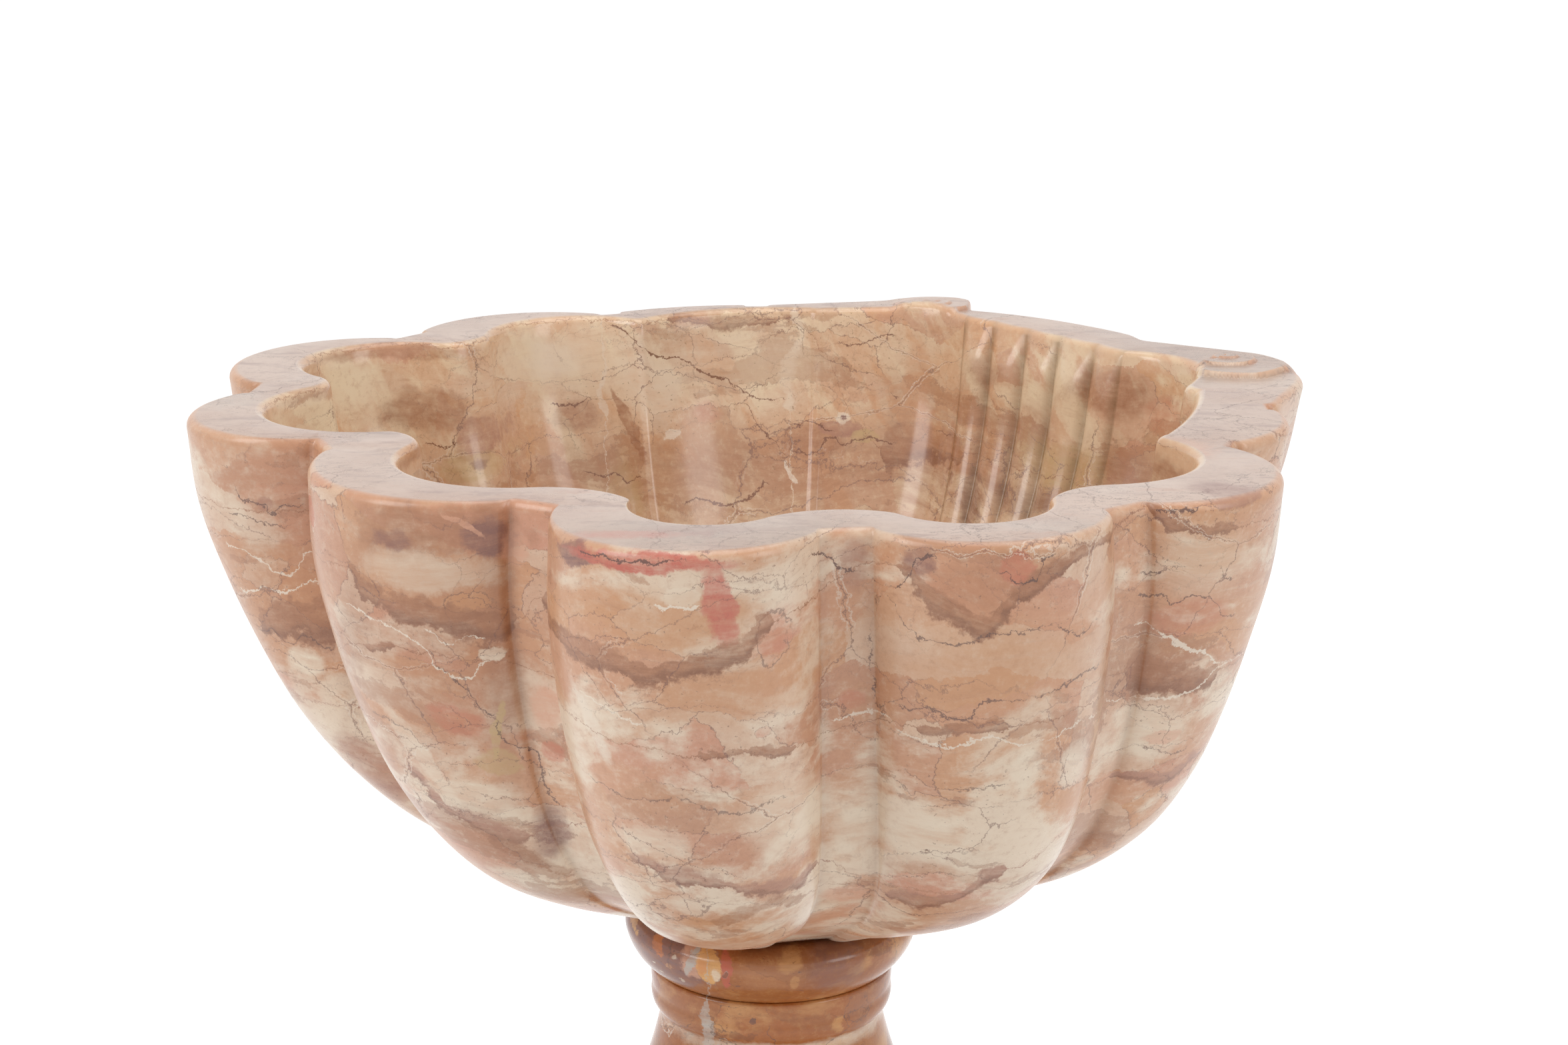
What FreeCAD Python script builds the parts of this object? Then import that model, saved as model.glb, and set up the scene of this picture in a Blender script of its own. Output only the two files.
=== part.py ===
"""Pedestal basin: a carved marble shell bowl on a turned baluster, with its waste and plug.

Millimetres, +Z up. The origin is on the floor, on the pedestal's axis. The shell's hinge, with
its two volutes, is at +Y, and the front lobe faces -Y.
"""
import FreeCAD, Part
import math
import os

import Sketcher
from FreeCAD import Placement, Rotation, Vector

# Driving sizes, in millimetres. Each one is a cell of the sheet.
SIZES = {
    # The whole basin
    "rim_height": 880.0,
    "bed_thickness": 1.5,
    "bed_setback": 2.5,
    "cut_overrun": 2.0,
    # Marble bowl
    "bowl_reach": 340.0,
    "bowl_height": 318.0,
    "foot_radius": 80.0,
    "floor_thickness": 58.0,
    "floor_radius": 46.0,
    "belly_front_shift": 14.0,
    "belly_side_shift": 4.0,
    "arris_radius": 6.0,
    "channel_width": 30.0,
    "channel_step": 5.0,
    "ridge_width": 26.0,
    "reed_height": 7.0,
    "reed_start": 24.0,
    "volute_radius": 27.0,
    "volute_step": 2.6,
    "hinge_margin": 5.0,
    # Collar stone
    "collar_height": 38.0,
    "collar_swell": 17.5,
    "neck_radius": 68.5,
    "chamber_radius": 37.0,
    # Baluster shaft, from its top downwards
    "cap_height": 30.0,
    "cap_swell": 5.5,
    "throat_radius": 65.0,
    "throat_height": 4.0,
    "vase_shoulder_radius": 90.0,
    "vase_belly_radius": 94.0,
    "vase_belly_swell": 18.0,
    "vase_hollow": 2.2,
    "stem_radius": 61.0,
    "stem_hollow": 3.5,
    "astragal_height": 12.0,
    "astragal_swell": 5.5,
    "shaft_foot_radius": 76.0,
    "shaft_foot_height": 16.0,
    "flare_hollow": 4.0,
    "union_bore_radius": 33.0,
    "union_bore_depth": 34.0,
    "pipe_bore_radius": 28.0,
    # Turned base
    "base_height": 78.0,
    "base_top_radius": 88.0,
    "base_fillet_height": 6.0,
    "base_scotia_height": 26.0,
    "base_scotia_hollow": 6.5,
    "base_ledge_radius": 114.0,
    "base_torus_height": 36.0,
    "base_torus_radius": 118.0,
    "base_torus_swell": 14.0,
    # Square plinth
    "plinth_width": 296.0,
    "plinth_height": 62.0,
    "plinth_chamfer": 5.0,
    "socket_radius": 50.0,
    "socket_depth": 38.0,
    # Dowel pins
    "dowel_radius": 5.0,
    "dowel_clearance": 0.1,
    "dowel_circle": 53.0,
    "base_dowel_circle": 72.0,
    "bowl_dowel_depth": 30.0,
    "stone_dowel_depth": 14.0,
    "base_dowel_depth": 28.0,
    # Flanged waste
    "flange_radius": 35.0,
    "flange_thickness": 4.0,
    "seal_thickness": 2.0,
    "flange_clearance": 1.0,
    "tail_radius": 20.9,
    "tail_bore_radius": 16.0,
    "tail_length": 92.0,
    "drain_clearance": 1.5,
    "seat_mouth_radius": 23.0,
    "seat_throat_radius": 17.0,
    "seat_depth": 10.0,
    "strainer_depth": 24.0,
    "strainer_bar_width": 3.0,
    "strainer_bar_height": 4.0,
    "thread_clearance": 0.1,
    # Rings and nuts on the waste's tail
    "under_washer_radius": 33.0,
    "under_washer_thickness": 3.0,
    "slip_washer_thickness": 1.5,
    "backnut_flats": 55.0,
    "backnut_height": 12.0,
    "union_flats": 50.0,
    "union_height": 30.0,
    "union_grip": 12.0,
    "union_lip": 6.0,
    # Waste pipe
    "pipe_radius": 17.5,
    "pipe_wall": 1.5,
    "spigot_radius": 17.0,
    "guide_height": 12.0,
    "guide_clearance": 0.2,
    "cone_washer_height": 12.0,
    # Plug and pull ring
    "plug_gap": 0.3,
    "plug_cap_radius": 27.0,
    "plug_cap_thickness": 3.0,
    "plug_stem_radius": 8.0,
    "plug_stem_length": 16.0,
    "plug_seal_radius": 16.4,
    "plug_seal_height": 9.0,
    "plug_nut_radius": 13.0,
    "plug_nut_height": 5.0,
    "ring_radius": 11.0,
    "ring_wire_radius": 1.5,
    "ring_clearance": 0.4,
    "eye_width": 4.0,
    "eye_wall": 2.6,
}

DOWELS = 3
BASE_DOWELS = 4

# The shaft's curves, from its top downwards, as shares of its height between cap and astragal.
VASE_SHOULDER_SHARE = 0.2215
VASE_BELLY_SHARE = 0.4525
STEM_SHARE = 0.2975

# The shell's channels, counter-clockwise from the left volute: the bearing of the outer band and
# of the inner ridge in degrees from +X, how far these drift on the way down to the foot, their
# distances as shares of the bowl's reach, and their widths as shares of the channel's and of the
# ridge's width.
CHANNELS = [
    {"outer_bearing": 137.3, "outer_drift": -6.0, "outer_share": 0.892,
     "channel_share": 0.55, "inner_bearing": 129.0, "inner_drift": 0.0,
     "inner_share": 0.855, "ridge_share": 0.35},
    {"outer_bearing": 157.3, "outer_drift": -12.0, "outer_share": 0.873,
     "channel_share": 0.55, "inner_bearing": 154.7, "inner_drift": 0.0,
     "inner_share": 0.790, "ridge_share": 0.30},
    {"outer_bearing": 185.2, "outer_drift": -12.0, "outer_share": 0.927,
     "channel_share": 1.0, "inner_bearing": 182.4, "inner_drift": 0.0,
     "inner_share": 0.802, "ridge_share": 1.50},
    {"outer_bearing": 218.0, "outer_drift": -6.0, "outer_share": 0.950,
     "channel_share": 1.0, "inner_bearing": 214.1, "inner_drift": 0.0,
     "inner_share": 0.833, "ridge_share": 1.10},
    {"outer_bearing": 248.0, "outer_drift": -6.0, "outer_share": 0.818,
     "channel_share": 1.0, "inner_bearing": 248.5, "inner_drift": 0.0,
     "inner_share": 0.667, "ridge_share": 1.30},
    {"outer_bearing": 287.7, "outer_drift": -2.7, "outer_share": 0.797,
     "channel_share": 1.0, "inner_bearing": 290.3, "inner_drift": 0.0,
     "inner_share": 0.700, "ridge_share": 2.30},
    {"outer_bearing": 322.9, "outer_drift": 5.8, "outer_share": 0.875,
     "channel_share": 1.0, "inner_bearing": 322.4, "inner_drift": 0.0,
     "inner_share": 0.770, "ridge_share": 2.50},
    {"outer_bearing": 352.6, "outer_drift": 14.0, "outer_share": 0.921,
     "channel_share": 1.0, "inner_bearing": 353.7, "inner_drift": 0.0,
     "inner_share": 0.794, "ridge_share": 1.80},
    {"outer_bearing": 383.1, "outer_drift": 14.0, "outer_share": 0.838,
     "channel_share": 0.55, "inner_bearing": 384.2, "inner_drift": 0.0,
     "inner_share": 0.708, "ridge_share": 0.40},
    {"outer_bearing": 402.9, "outer_drift": 6.0, "outer_share": 0.883,
     "channel_share": 0.55, "inner_bearing": 415.9, "inner_drift": 0.0,
     "inner_share": 0.775, "ridge_share": 0.80},
]

# The lobe that follows each channel but the last: its bulge and its lean as shares of its chord.
LOBES = [
    {"outer_share": 0.07, "inner_share": 0.12, "lean_share": 0.0},
    {"outer_share": 0.225, "inner_share": 0.30, "lean_share": -0.06},
    {"outer_share": 0.33, "inner_share": 0.42, "lean_share": 0.06},
    {"outer_share": 0.34, "inner_share": 0.385, "lean_share": 0.10},
    {"outer_share": 0.28, "inner_share": 0.303, "lean_share": 0.0},
    {"outer_share": 0.43, "inner_share": 0.41, "lean_share": 0.0},
    {"outer_share": 0.325, "inner_share": 0.40, "lean_share": 0.04},
    {"outer_share": 0.325, "inner_share": 0.295, "lean_share": 0.0},
    {"outer_share": 0.155, "inner_share": 0.045, "lean_share": -0.05},
]

# The hinge's outline, counter-clockwise from the right volute, as shares of the bowl's reach.
HINGE_CORNER_RIGHT_SHARES = [(0.553, 0.815), (0.480, 0.905), (0.368, 0.946)]
HINGE_JOG_RIGHT_SHARES = [(0.135, 0.884), (0.085, 0.912)]
HINGE_MIDDLE_SHARES = (-0.110, 0.932)
HINGE_JOG_LEFT_SHARES = [(-0.285, 0.897), (-0.320, 0.884)]
HINGE_BACK_LEFT_SHARES = (-0.365, 0.936)
HINGE_CORNER_LEFT_SHARES = [(-0.400, 0.945), (-0.470, 0.915), (-0.512, 0.835)]

# The inner back wall, from right to left: flute, reeds, flute.
FLUTE_RIGHT_SHARES = [(0.360, 0.757), (0.285, 0.790), (0.171, 0.765)]
REED_X_SHARES = [0.171, 0.091, -0.012, -0.103, -0.197, -0.274]
REED_Y_SHARES = [0.765, 0.782, 0.797, 0.809, 0.816, 0.816]
FLUTE_LEFT_SHARES = [(-0.274, 0.816), (-0.350, 0.826), (-0.425, 0.795)]

# Centres of the two volutes, as shares of the bowl's reach.
VOLUTE_RIGHT_SHARES = (0.376, 0.858)
VOLUTE_LEFT_SHARES = (-0.409, 0.868)

# The bowl's upright curves, from the rim down: depth as a share of the wall's height, and how much
# of the way from the foot's outline out to the rim's outline is left there. The outside also
# leans: shares of its shifts towards the belly's front and side.
OUTER_CURVE_SHARES = [(0.0, 1.0, 0.0, 0.0), (0.15, 0.974, -0.05, 0.65), (0.30, 0.914, 0.06, 1.0),
                      (0.45, 0.840, 0.24, 1.0), (0.58, 0.758, 0.50, 0.85), (0.70, 0.644, 0.88, 0.55),
                      (0.80, 0.500, 1.0, 0.55), (0.88, 0.321, 0.84, 0.9), (0.95, 0.134, 0.20, 0.2),
                      (1.0, 0.0, 0.0, 0.0)]
INNER_CURVE_SHARES = [(0.0, 1.0), (0.10, 0.985), (0.24, 0.958), (0.42, 0.892), (0.60, 0.782),
                      (0.76, 0.630), (0.89, 0.435), (0.97, 0.235), (1.0, 0.0)]
BELLY_FRONT_BEARING = 315.2
BELLY_SIDE_BEARING = 225.2
CHANNEL_GROWTH = 0.56
FULL_GROWTH_SHARE = 0.36
STEP_FADE_SHARE = 0.4
RIDGE_BULGE_SHARE = 0.16
REEDS = 5
REED_FADE = 4.0
REED_END_SHARE = 0.15
ARRIS_TURN_SHARES = [0.0, 0.35, 0.7, 1.0]


class Length:
    """A length in millimetres that keeps the rule by which it follows from the sheet."""

    def __init__(self, mm, rule):
        self.mm = mm
        self.rule = rule

    def __add__(self, other):
        return Length(self.mm + other.mm, f"({self.rule} + {other.rule})")

    def __sub__(self, other):
        return Length(self.mm - other.mm, f"({self.rule} - {other.rule})")

    def __mul__(self, share):
        return Length(self.mm * share, f"({self.rule} * {share:.9f})")

    def __neg__(self):
        return self * -1

    def squared_over(self, other):
        """This length squared, divided by another one."""
        return Length(self.mm ** 2 / other.mm, f"({self.rule} ^ 2 / {other.rule})")


def arc_radius(across, along, swell):
    """Radius of the arc over a chord with these two legs that swells by this much."""
    return (across.squared_over(swell) + along.squared_over(swell)) * 0.125 + swell * 0.5


doc = FreeCAD.newDocument("PedestalBasin")
sheet = doc.addObject("Spreadsheet::Sheet", "Sizes")
for row, (alias, size) in enumerate(SIZES.items(), start=1):
    sheet.set(f"A{row}", alias)
    sheet.set(f"B{row}", str(size))
    sheet.setAlias(f"B{row}", alias)
doc.recompute()


def size(alias):
    """The named cell of the sheet, as a length."""
    return Length(float(sheet.get(alias)), f"Sizes.{alias}")


ZERO = Length(0.0, "0")


def bind(obj, prop, length):
    """Let a property of an object follow a length's rule."""
    obj.setExpression(prop, length.rule)


def bind_place(obj, x=ZERO, y=ZERO, z=ZERO):
    """Let an object's place follow three lengths."""
    obj.Placement = Placement(Vector(x.mm, y.mm, z.mm), obj.Placement.Rotation)
    for letter, length in (("x", x), ("y", y), ("z", z)):
        if length is not ZERO:
            bind(obj, f"Placement.Base.{letter}", length)


def cylinder(name, radius, height, x=ZERO, y=ZERO, z=ZERO):
    """An upright cylinder that stands at x, y, z."""
    obj = doc.addObject("Part::Cylinder", name)
    bind(obj, "Radius", radius)
    bind(obj, "Height", height)
    bind_place(obj, x, y, z)
    return obj


def box(name, length, width, height, z):
    """A box centred on the axis, from z upwards."""
    obj = doc.addObject("Part::Box", name)
    bind(obj, "Length", length)
    bind(obj, "Width", width)
    bind(obj, "Height", height)
    bind_place(obj, length * -0.5, width * -0.5, z)
    return obj


def hexagon(name, flats, height, z):
    """A hexagonal prism of this width across flats."""
    obj = doc.addObject("Part::Prism", name)
    obj.Polygon = 6
    bind(obj, "Circumradius", flats * (0.5 / math.cos(math.pi / 6)))
    bind(obj, "Height", height)
    bind_place(obj, z=z)
    return obj


def cut(name, base, *tools):
    """One piece with others taken out of it."""
    for count, tool in enumerate(tools, start=1):
        obj = doc.addObject("Part::Cut", name if count == len(tools) else f"{name}_stage_{count}")
        obj.Base = base
        obj.Tool = tool
        base = obj
    return base


def fuse(name, *pieces):
    """Several pieces as one solid."""
    obj = doc.addObject("Part::MultiFuse", name)
    obj.Shapes = list(pieces)
    return obj


def group(name, pieces):
    """Several separate solids under one name."""
    obj = doc.addObject("Part::Compound", name)
    obj.Links = list(pieces)
    return obj


def ring(name, outer, inner, height, z):
    """A flat ring from z upwards."""
    over = size("cut_overrun")
    solid = cylinder(f"{name}_disc", outer, height, z=z)
    hole = cylinder(f"{name}_hole", inner, height + over * 2, z=z - over)
    return cut(name, solid, hole)


def polar(name, count, circle, radius, height, z, turn_share=0.0):
    """Upright cylinders evenly spaced on a circle, turned by a share of their spacing."""
    pins = []
    for number in range(count):
        angle = 2 * math.pi * (number + turn_share) / count
        pins.append(cylinder(f"{name}_{number + 1}", radius, height,
                             circle * math.cos(angle), circle * math.sin(angle), z))
    return pins


def turned(name, z, corners):
    """A body turned round the axis from its closed half outline.

    corners holds (radius, height, swell): swell is None where the edge from the corner before
    is straight, and otherwise how far that edge swells out (or hollows in, if negative).
    """
    body = doc.addObject("PartDesign::Body", name)
    sketch = body.newObject("Sketcher::SketchObject", f"{name}_outline")
    plane = next(f for f in body.Origin.OriginFeatures if f.Role == "XZ_Plane")
    sketch.AttachmentSupport = [(plane, "")]
    sketch.MapMode = "FlatFace"
    points = [Vector(r.mm, h.mm, 0) for r, h, _ in corners]
    ends = []
    for number, (radius, height, swell) in enumerate(corners):
        start, end = points[number - 1], points[number]
        if swell is None:
            edge = sketch.addGeometry(Part.LineSegment(start, end), False)
            ends.append((edge, 1, 2))
            continue
        along = (end - start).normalize()
        middle = (start + end) * 0.5 + Vector(along.y, -along.x, 0) * swell.mm
        edge = sketch.addGeometry(Part.Arc(start, middle, end), False)
        first = sketch.getPoint(edge, 1)
        ends.append((edge, 1, 2) if first.distanceToPoint(start) < first.distanceToPoint(end)
                    else (edge, 2, 1))
    for number, (edge, start, end) in enumerate(ends):
        following = ends[(number + 1) % len(ends)]
        sketch.addConstraint(Sketcher.Constraint("Coincident", edge, end,
                                                 following[0], following[1]))
        radius, height, swell = corners[number]
        for kind, length, axis in (("DistanceX", radius, -2), ("DistanceY", height, -1)):
            if length is ZERO:
                sketch.addConstraint(Sketcher.Constraint("PointOnObject", edge, end, axis))
                continue
            place = sketch.addConstraint(Sketcher.Constraint(kind, -1, 1, edge, end, length.mm))
            bind(sketch, f"Constraints[{place}]", length)
        if swell is not None:
            before = corners[number - 1]
            bulge = swell if swell.mm > 0 else -swell
            curve = arc_radius(radius - before[0], height - before[1], bulge)
            place = sketch.addConstraint(Sketcher.Constraint("Radius", edge, curve.mm))
            bind(sketch, f"Constraints[{place}]", curve)
    turn = body.newObject("PartDesign::Revolution", f"{name}_turning")
    turn.Profile = sketch
    turn.ReferenceAxis = (sketch, ["V_Axis"])
    turn.Angle = 360.0
    bind_place(body, z=z)
    return body


# Heights of the stones, from the floor up
plinth_top = size("plinth_height")
base_bottom = plinth_top + size("bed_thickness")
base_top = base_bottom + size("base_height")
shaft_bottom = base_top + size("bed_thickness")
bowl_bottom = size("rim_height") - size("bowl_height")
collar_top = bowl_bottom - size("bed_thickness")
collar_bottom = collar_top - size("collar_height")
shaft_top = collar_bottom - size("bed_thickness")
floor_top = bowl_bottom + size("floor_thickness")


# The marble bowl
def shrink(left_share, end_share):
    """The outline's scale where this much of the way from the foot out to the rim is left."""
    return end_share + (1 - end_share) * left_share


def at(shares, reach, z):
    """A point given by its shares of the reach."""
    return Vector(shares[0] * reach, shares[1] * reach, z)


def polar_point(bearing, radius, z):
    """A point at a bearing in degrees and a distance from the axis."""
    angle = math.radians(bearing)
    return Vector(radius * math.cos(angle), radius * math.sin(angle), z)


def swelling_arc(start, end, bulge_share, lean_share=0.0):
    """An arc over the chord from start to end, to the right of the way it runs."""
    chord = end - start
    out = Vector(chord.y, -chord.x, 0)
    return Part.Arc(start, (start + end) * 0.5 + out * bulge_share + chord * lean_share, end)


def joined(curves):
    """The curves as one closed wire."""
    return Part.Wire([curve.toShape() for curve in curves])


def scalloped(scale, depth_share, z, width, lift, side):
    """Channels and lobes of one side at one level, with the first and the last channel edge."""
    reach = SIZES_NOW["bowl_reach"] * scale
    curves, edges = [], []
    for channel in CHANNELS:
        bearing = channel[f"{side}_bearing"] + channel[f"{side}_drift"] * depth_share
        band = width * channel["ridge_share"]
        if side == "outer":
            wide = channel["channel_share"] == 1.0
            change = CHANNEL_GROWTH * min(1 - scale, FULL_GROWTH_SHARE) if wide else (
                -CHANNEL_GROWTH * (1 - scale))
            band = width * channel["channel_share"] * (1 + change)
        middle = polar_point(bearing, channel[f"{side}_share"] * reach, z)
        out = polar_point(bearing, 1.0, 0)
        along = Vector(-out.y, out.x, 0)
        edges.append((middle - along * (band / 2), middle + along * (band / 2), out * lift))
    for number, (start, end, step) in enumerate(edges):
        if side == "outer":
            curves += [Part.LineSegment(start + step, start), Part.LineSegment(start, end),
                       Part.LineSegment(end, end + step)]
        else:
            curves.append(swelling_arc(start, end, -RIDGE_BULGE_SHARE))
        if number + 1 < len(edges):
            lobe = LOBES[number]
            following, _, next_step = edges[number + 1]
            curves.append(swelling_arc(end + step, following + next_step,
                                       lobe[f"{side}_share"], lobe["lean_share"]))
    return curves, edges[0][0] + edges[0][2], edges[-1][1] + edges[-1][2]


def outer_level(scale, depth_share, z):
    """The bowl's outer outline at one level."""
    reach = SIZES_NOW["bowl_reach"] * scale
    width = SIZES_NOW["channel_width"]
    lift = SIZES_NOW["channel_step"] * (STEP_FADE_SHARE + (1 - STEP_FADE_SHARE) * scale)
    curves, first, last = scalloped(scale, depth_share, z, width, lift, "outer")
    corner_right = [at(p, reach, z) for p in HINGE_CORNER_RIGHT_SHARES]
    jog_right = [at(p, reach, z) for p in HINGE_JOG_RIGHT_SHARES]
    jog_left = [at(p, reach, z) for p in HINGE_JOG_LEFT_SHARES]
    back_left = at(HINGE_BACK_LEFT_SHARES, reach, z)
    corner_left = [at(p, reach, z) for p in HINGE_CORNER_LEFT_SHARES]
    curves += [Part.LineSegment(last, corner_right[0]), Part.Arc(*corner_right),
               Part.LineSegment(corner_right[2], jog_right[0]), Part.LineSegment(*jog_right),
               Part.Arc(jog_right[1], at(HINGE_MIDDLE_SHARES, reach, z), jog_left[0]),
               Part.LineSegment(*jog_left), Part.LineSegment(jog_left[1], back_left),
               Part.LineSegment(back_left, corner_left[0]), Part.Arc(*corner_left),
               Part.LineSegment(corner_left[2], first)]
    return joined(curves)


def inner_level(scale, depth_share, z, reed_bulge_share):
    """The cavity's outline at one level, with its reeds and flutes at the back."""
    reach = SIZES_NOW["bowl_reach"] * scale
    width = SIZES_NOW["ridge_width"] * scale
    curves, first, last = scalloped(scale, depth_share, z, width, 0.0, "inner")
    flute_right = [at(p, reach, z) for p in FLUTE_RIGHT_SHARES]
    flute_left = [at(p, reach, z) for p in FLUTE_LEFT_SHARES]
    reeds = [at(p, reach, z) for p in zip(REED_X_SHARES, REED_Y_SHARES)]
    curves += [Part.LineSegment(last, flute_right[0]), Part.Arc(*flute_right)]
    for start, end in zip(reeds, reeds[1:]):
        curves.append(swelling_arc(start, end, -reed_bulge_share))
    curves += [Part.Arc(*flute_left), Part.LineSegment(flute_left[2], first)]
    return joined(curves)


SIZES_NOW = {alias: size(alias).mm for alias in SIZES}


def outer_block():
    """The bowl's outside as a solid: a smooth wall and a rounded arris above it."""
    now = SIZES_NOW
    mean_share = sum(c["outer_share"] for c in CHANNELS) / len(CHANNELS)
    end_share = now["foot_radius"] / (mean_share * now["bowl_reach"])
    arris = now["arris_radius"]
    wall_height = now["bowl_height"] - arris
    levels = []
    for depth_share, left_share, front_share, side_share in reversed(OUTER_CURVE_SHARES):
        wire = outer_level(shrink(left_share, end_share), depth_share,
                           now["rim_height"] - arris - depth_share * wall_height)
        wire.translate(polar_point(BELLY_FRONT_BEARING, now["belly_front_shift"] * front_share, 0)
                       + polar_point(BELLY_SIDE_BEARING, now["belly_side_shift"] * side_share, 0))
        levels.append(wire)
    wall = Part.makeLoft(levels, True, False)
    rounds = []
    for share in ARRIS_TURN_SHARES:
        inset = arris * (1 - math.cos(share * math.pi / 2))
        rounds.append(outer_level(1 - inset / now["bowl_reach"], 0.0,
                                  now["rim_height"] - arris
                                  + arris * math.sin(share * math.pi / 2)))
    return wall.fuse(Part.makeLoft(rounds, True, True))


def cavity():
    """The hollow of the bowl as a solid, with a rounded arris and open above the rim."""
    now = SIZES_NOW
    mean_share = sum(c["inner_share"] for c in CHANNELS) / len(CHANNELS)
    mean_reach = mean_share * now["bowl_reach"]
    end_share = now["floor_radius"] / mean_reach
    arris = now["arris_radius"]
    depth = now["bowl_height"] - now["floor_thickness"] - arris
    reed_width = now["bowl_reach"] * (REED_X_SHARES[0] - REED_X_SHARES[-1]) / REEDS
    full_bulge = now["reed_height"] / reed_width
    levels = []
    for depth_share, left_share in INNER_CURVE_SHARES:
        grown = min(1.0, (depth_share * depth + arris) / now["reed_start"])
        fading = min(1.0, (1 - depth_share) * REED_FADE + REED_END_SHARE)
        levels.append(inner_level(shrink(left_share, end_share), depth_share,
                                  now["rim_height"] - arris - depth_share * depth,
                                  full_bulge * grown * fading))
    wall = Part.makeLoft(levels, True, False)
    start_bulge = full_bulge * arris / now["reed_start"]
    rounds = []
    for share in ARRIS_TURN_SHARES:
        inset = arris * (1 - math.cos(share * math.pi / 2))
        rounds.append(inner_level(1 + inset / mean_reach, 0.0,
                                  now["rim_height"] - arris
                                  + arris * math.sin(share * math.pi / 2), start_bulge))
    rounds.append(inner_level(1 + arris / mean_reach, 0.0,
                              now["rim_height"] + now["cut_overrun"], start_bulge))
    return wall.fuse(Part.makeLoft(rounds, True, True))


def snail(centre, side, outer, inner, z, height):
    """One turn of a volute: a raised plate whose edge winds in from outer to inner."""
    steps = 24
    points = []
    for number in range(steps + 1):
        turn = number / steps
        angle = -math.pi / 2 + side * 2 * math.pi * turn
        radius = outer + (inner - outer) * turn
        points.append(centre + Vector(radius * math.cos(angle), radius * math.sin(angle), 0))
    curve = Part.BSplineCurve()
    curve.interpolate(points)
    edge = Part.LineSegment(points[-1], points[0])
    face = Part.Face(Part.Wire([curve.toShape(), edge.toShape()]))
    face.translate(Vector(0, 0, z))
    return face.extrude(Vector(0, 0, height))


def hinge_relief():
    """The raised middle of the hinge and the two volutes that curl from its ends."""
    now = SIZES_NOW
    reach = now["bowl_reach"]
    sink = now["cut_overrun"]
    z = now["rim_height"] - sink
    step = now["volute_step"]
    radius = now["volute_radius"]
    left, right = at(VOLUTE_LEFT_SHARES, reach, 0), at(VOLUTE_RIGHT_SHARES, reach, 0)
    margin = now["hinge_margin"]
    plate_edge = [left + Vector(0, -radius + margin, 0)]
    for p in reversed(list(zip(REED_X_SHARES, REED_Y_SHARES))):
        plate_edge.append(at(p, reach, 0) + Vector(0, margin + now["arris_radius"], 0))
    plate_edge.append(right + Vector(0, -radius + margin, 0))
    plate_edge.append(right)
    for p in (HINGE_JOG_RIGHT_SHARES[0], HINGE_JOG_RIGHT_SHARES[1], HINGE_MIDDLE_SHARES,
              HINGE_JOG_LEFT_SHARES[0], HINGE_JOG_LEFT_SHARES[1]):
        plate_edge.append(at(p, reach, 0) - Vector(0, margin + now["arris_radius"], 0))
    plate_edge.append(left)
    plate = Part.Face(Part.makePolygon(plate_edge + plate_edge[:1]))
    plate.translate(Vector(0, 0, z))
    relief = plate.extrude(Vector(0, 0, sink + step))
    for centre, side in ((right, 1), (left, -1)):
        for level, (outer_share, inner_share) in enumerate(((1.0, 0.64), (0.64, 0.32))):
            relief = relief.fuse(snail(centre, side, radius * outer_share, radius * inner_share,
                                       z, sink + step * (1 + 0.6 * level)))
        eye = Part.makeCylinder(radius * 0.2, sink + step * 1.9, centre + Vector(0, 0, z))
        relief = relief.fuse(eye)
    return relief.removeSplitter()


bowl_block = doc.addObject("Part::Feature", "bowl_block")
bowl_block.Shape = outer_block().fuse(hinge_relief()).cut(cavity())

over = size("cut_overrun")
recess_depth = size("flange_thickness") + size("seal_thickness")
drain_hole = cylinder("drain_hole", size("tail_radius") + size("drain_clearance"),
                      size("floor_thickness") + over * 2, z=bowl_bottom - over)
flange_recess = cylinder("flange_recess", size("flange_radius") + size("flange_clearance"),
                         recess_depth + over, z=floor_top - recess_depth)
dowel_bore = size("dowel_radius") + size("dowel_clearance")
bowl_dowel_bores = group("bowl_dowel_bores", polar(
    "bowl_dowel_bore", DOWELS, size("dowel_circle"), dowel_bore,
    size("bowl_dowel_depth") + over, bowl_bottom - over))
bowl = cut("bowl", bowl_block, drain_hole, flange_recess, bowl_dowel_bores)

# Collar stone
neck = size("neck_radius")
collar_blank = turned("collar_blank", collar_bottom, [
    (size("chamber_radius"), ZERO, None),
    (neck, ZERO, None),
    (neck, size("collar_height"), size("collar_swell")),
    (size("chamber_radius"), size("collar_height"), None),
])
collar_dowel_bores = group("collar_dowel_bores", polar(
    "collar_top_bore", DOWELS, size("dowel_circle"), dowel_bore,
    size("stone_dowel_depth") + over, collar_top - size("stone_dowel_depth"))
    + polar("collar_foot_bore", DOWELS, size("dowel_circle"), dowel_bore,
            size("stone_dowel_depth") + over, collar_bottom - over, 0.5))
collar = cut("collar", collar_blank, collar_dowel_bores)

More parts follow.
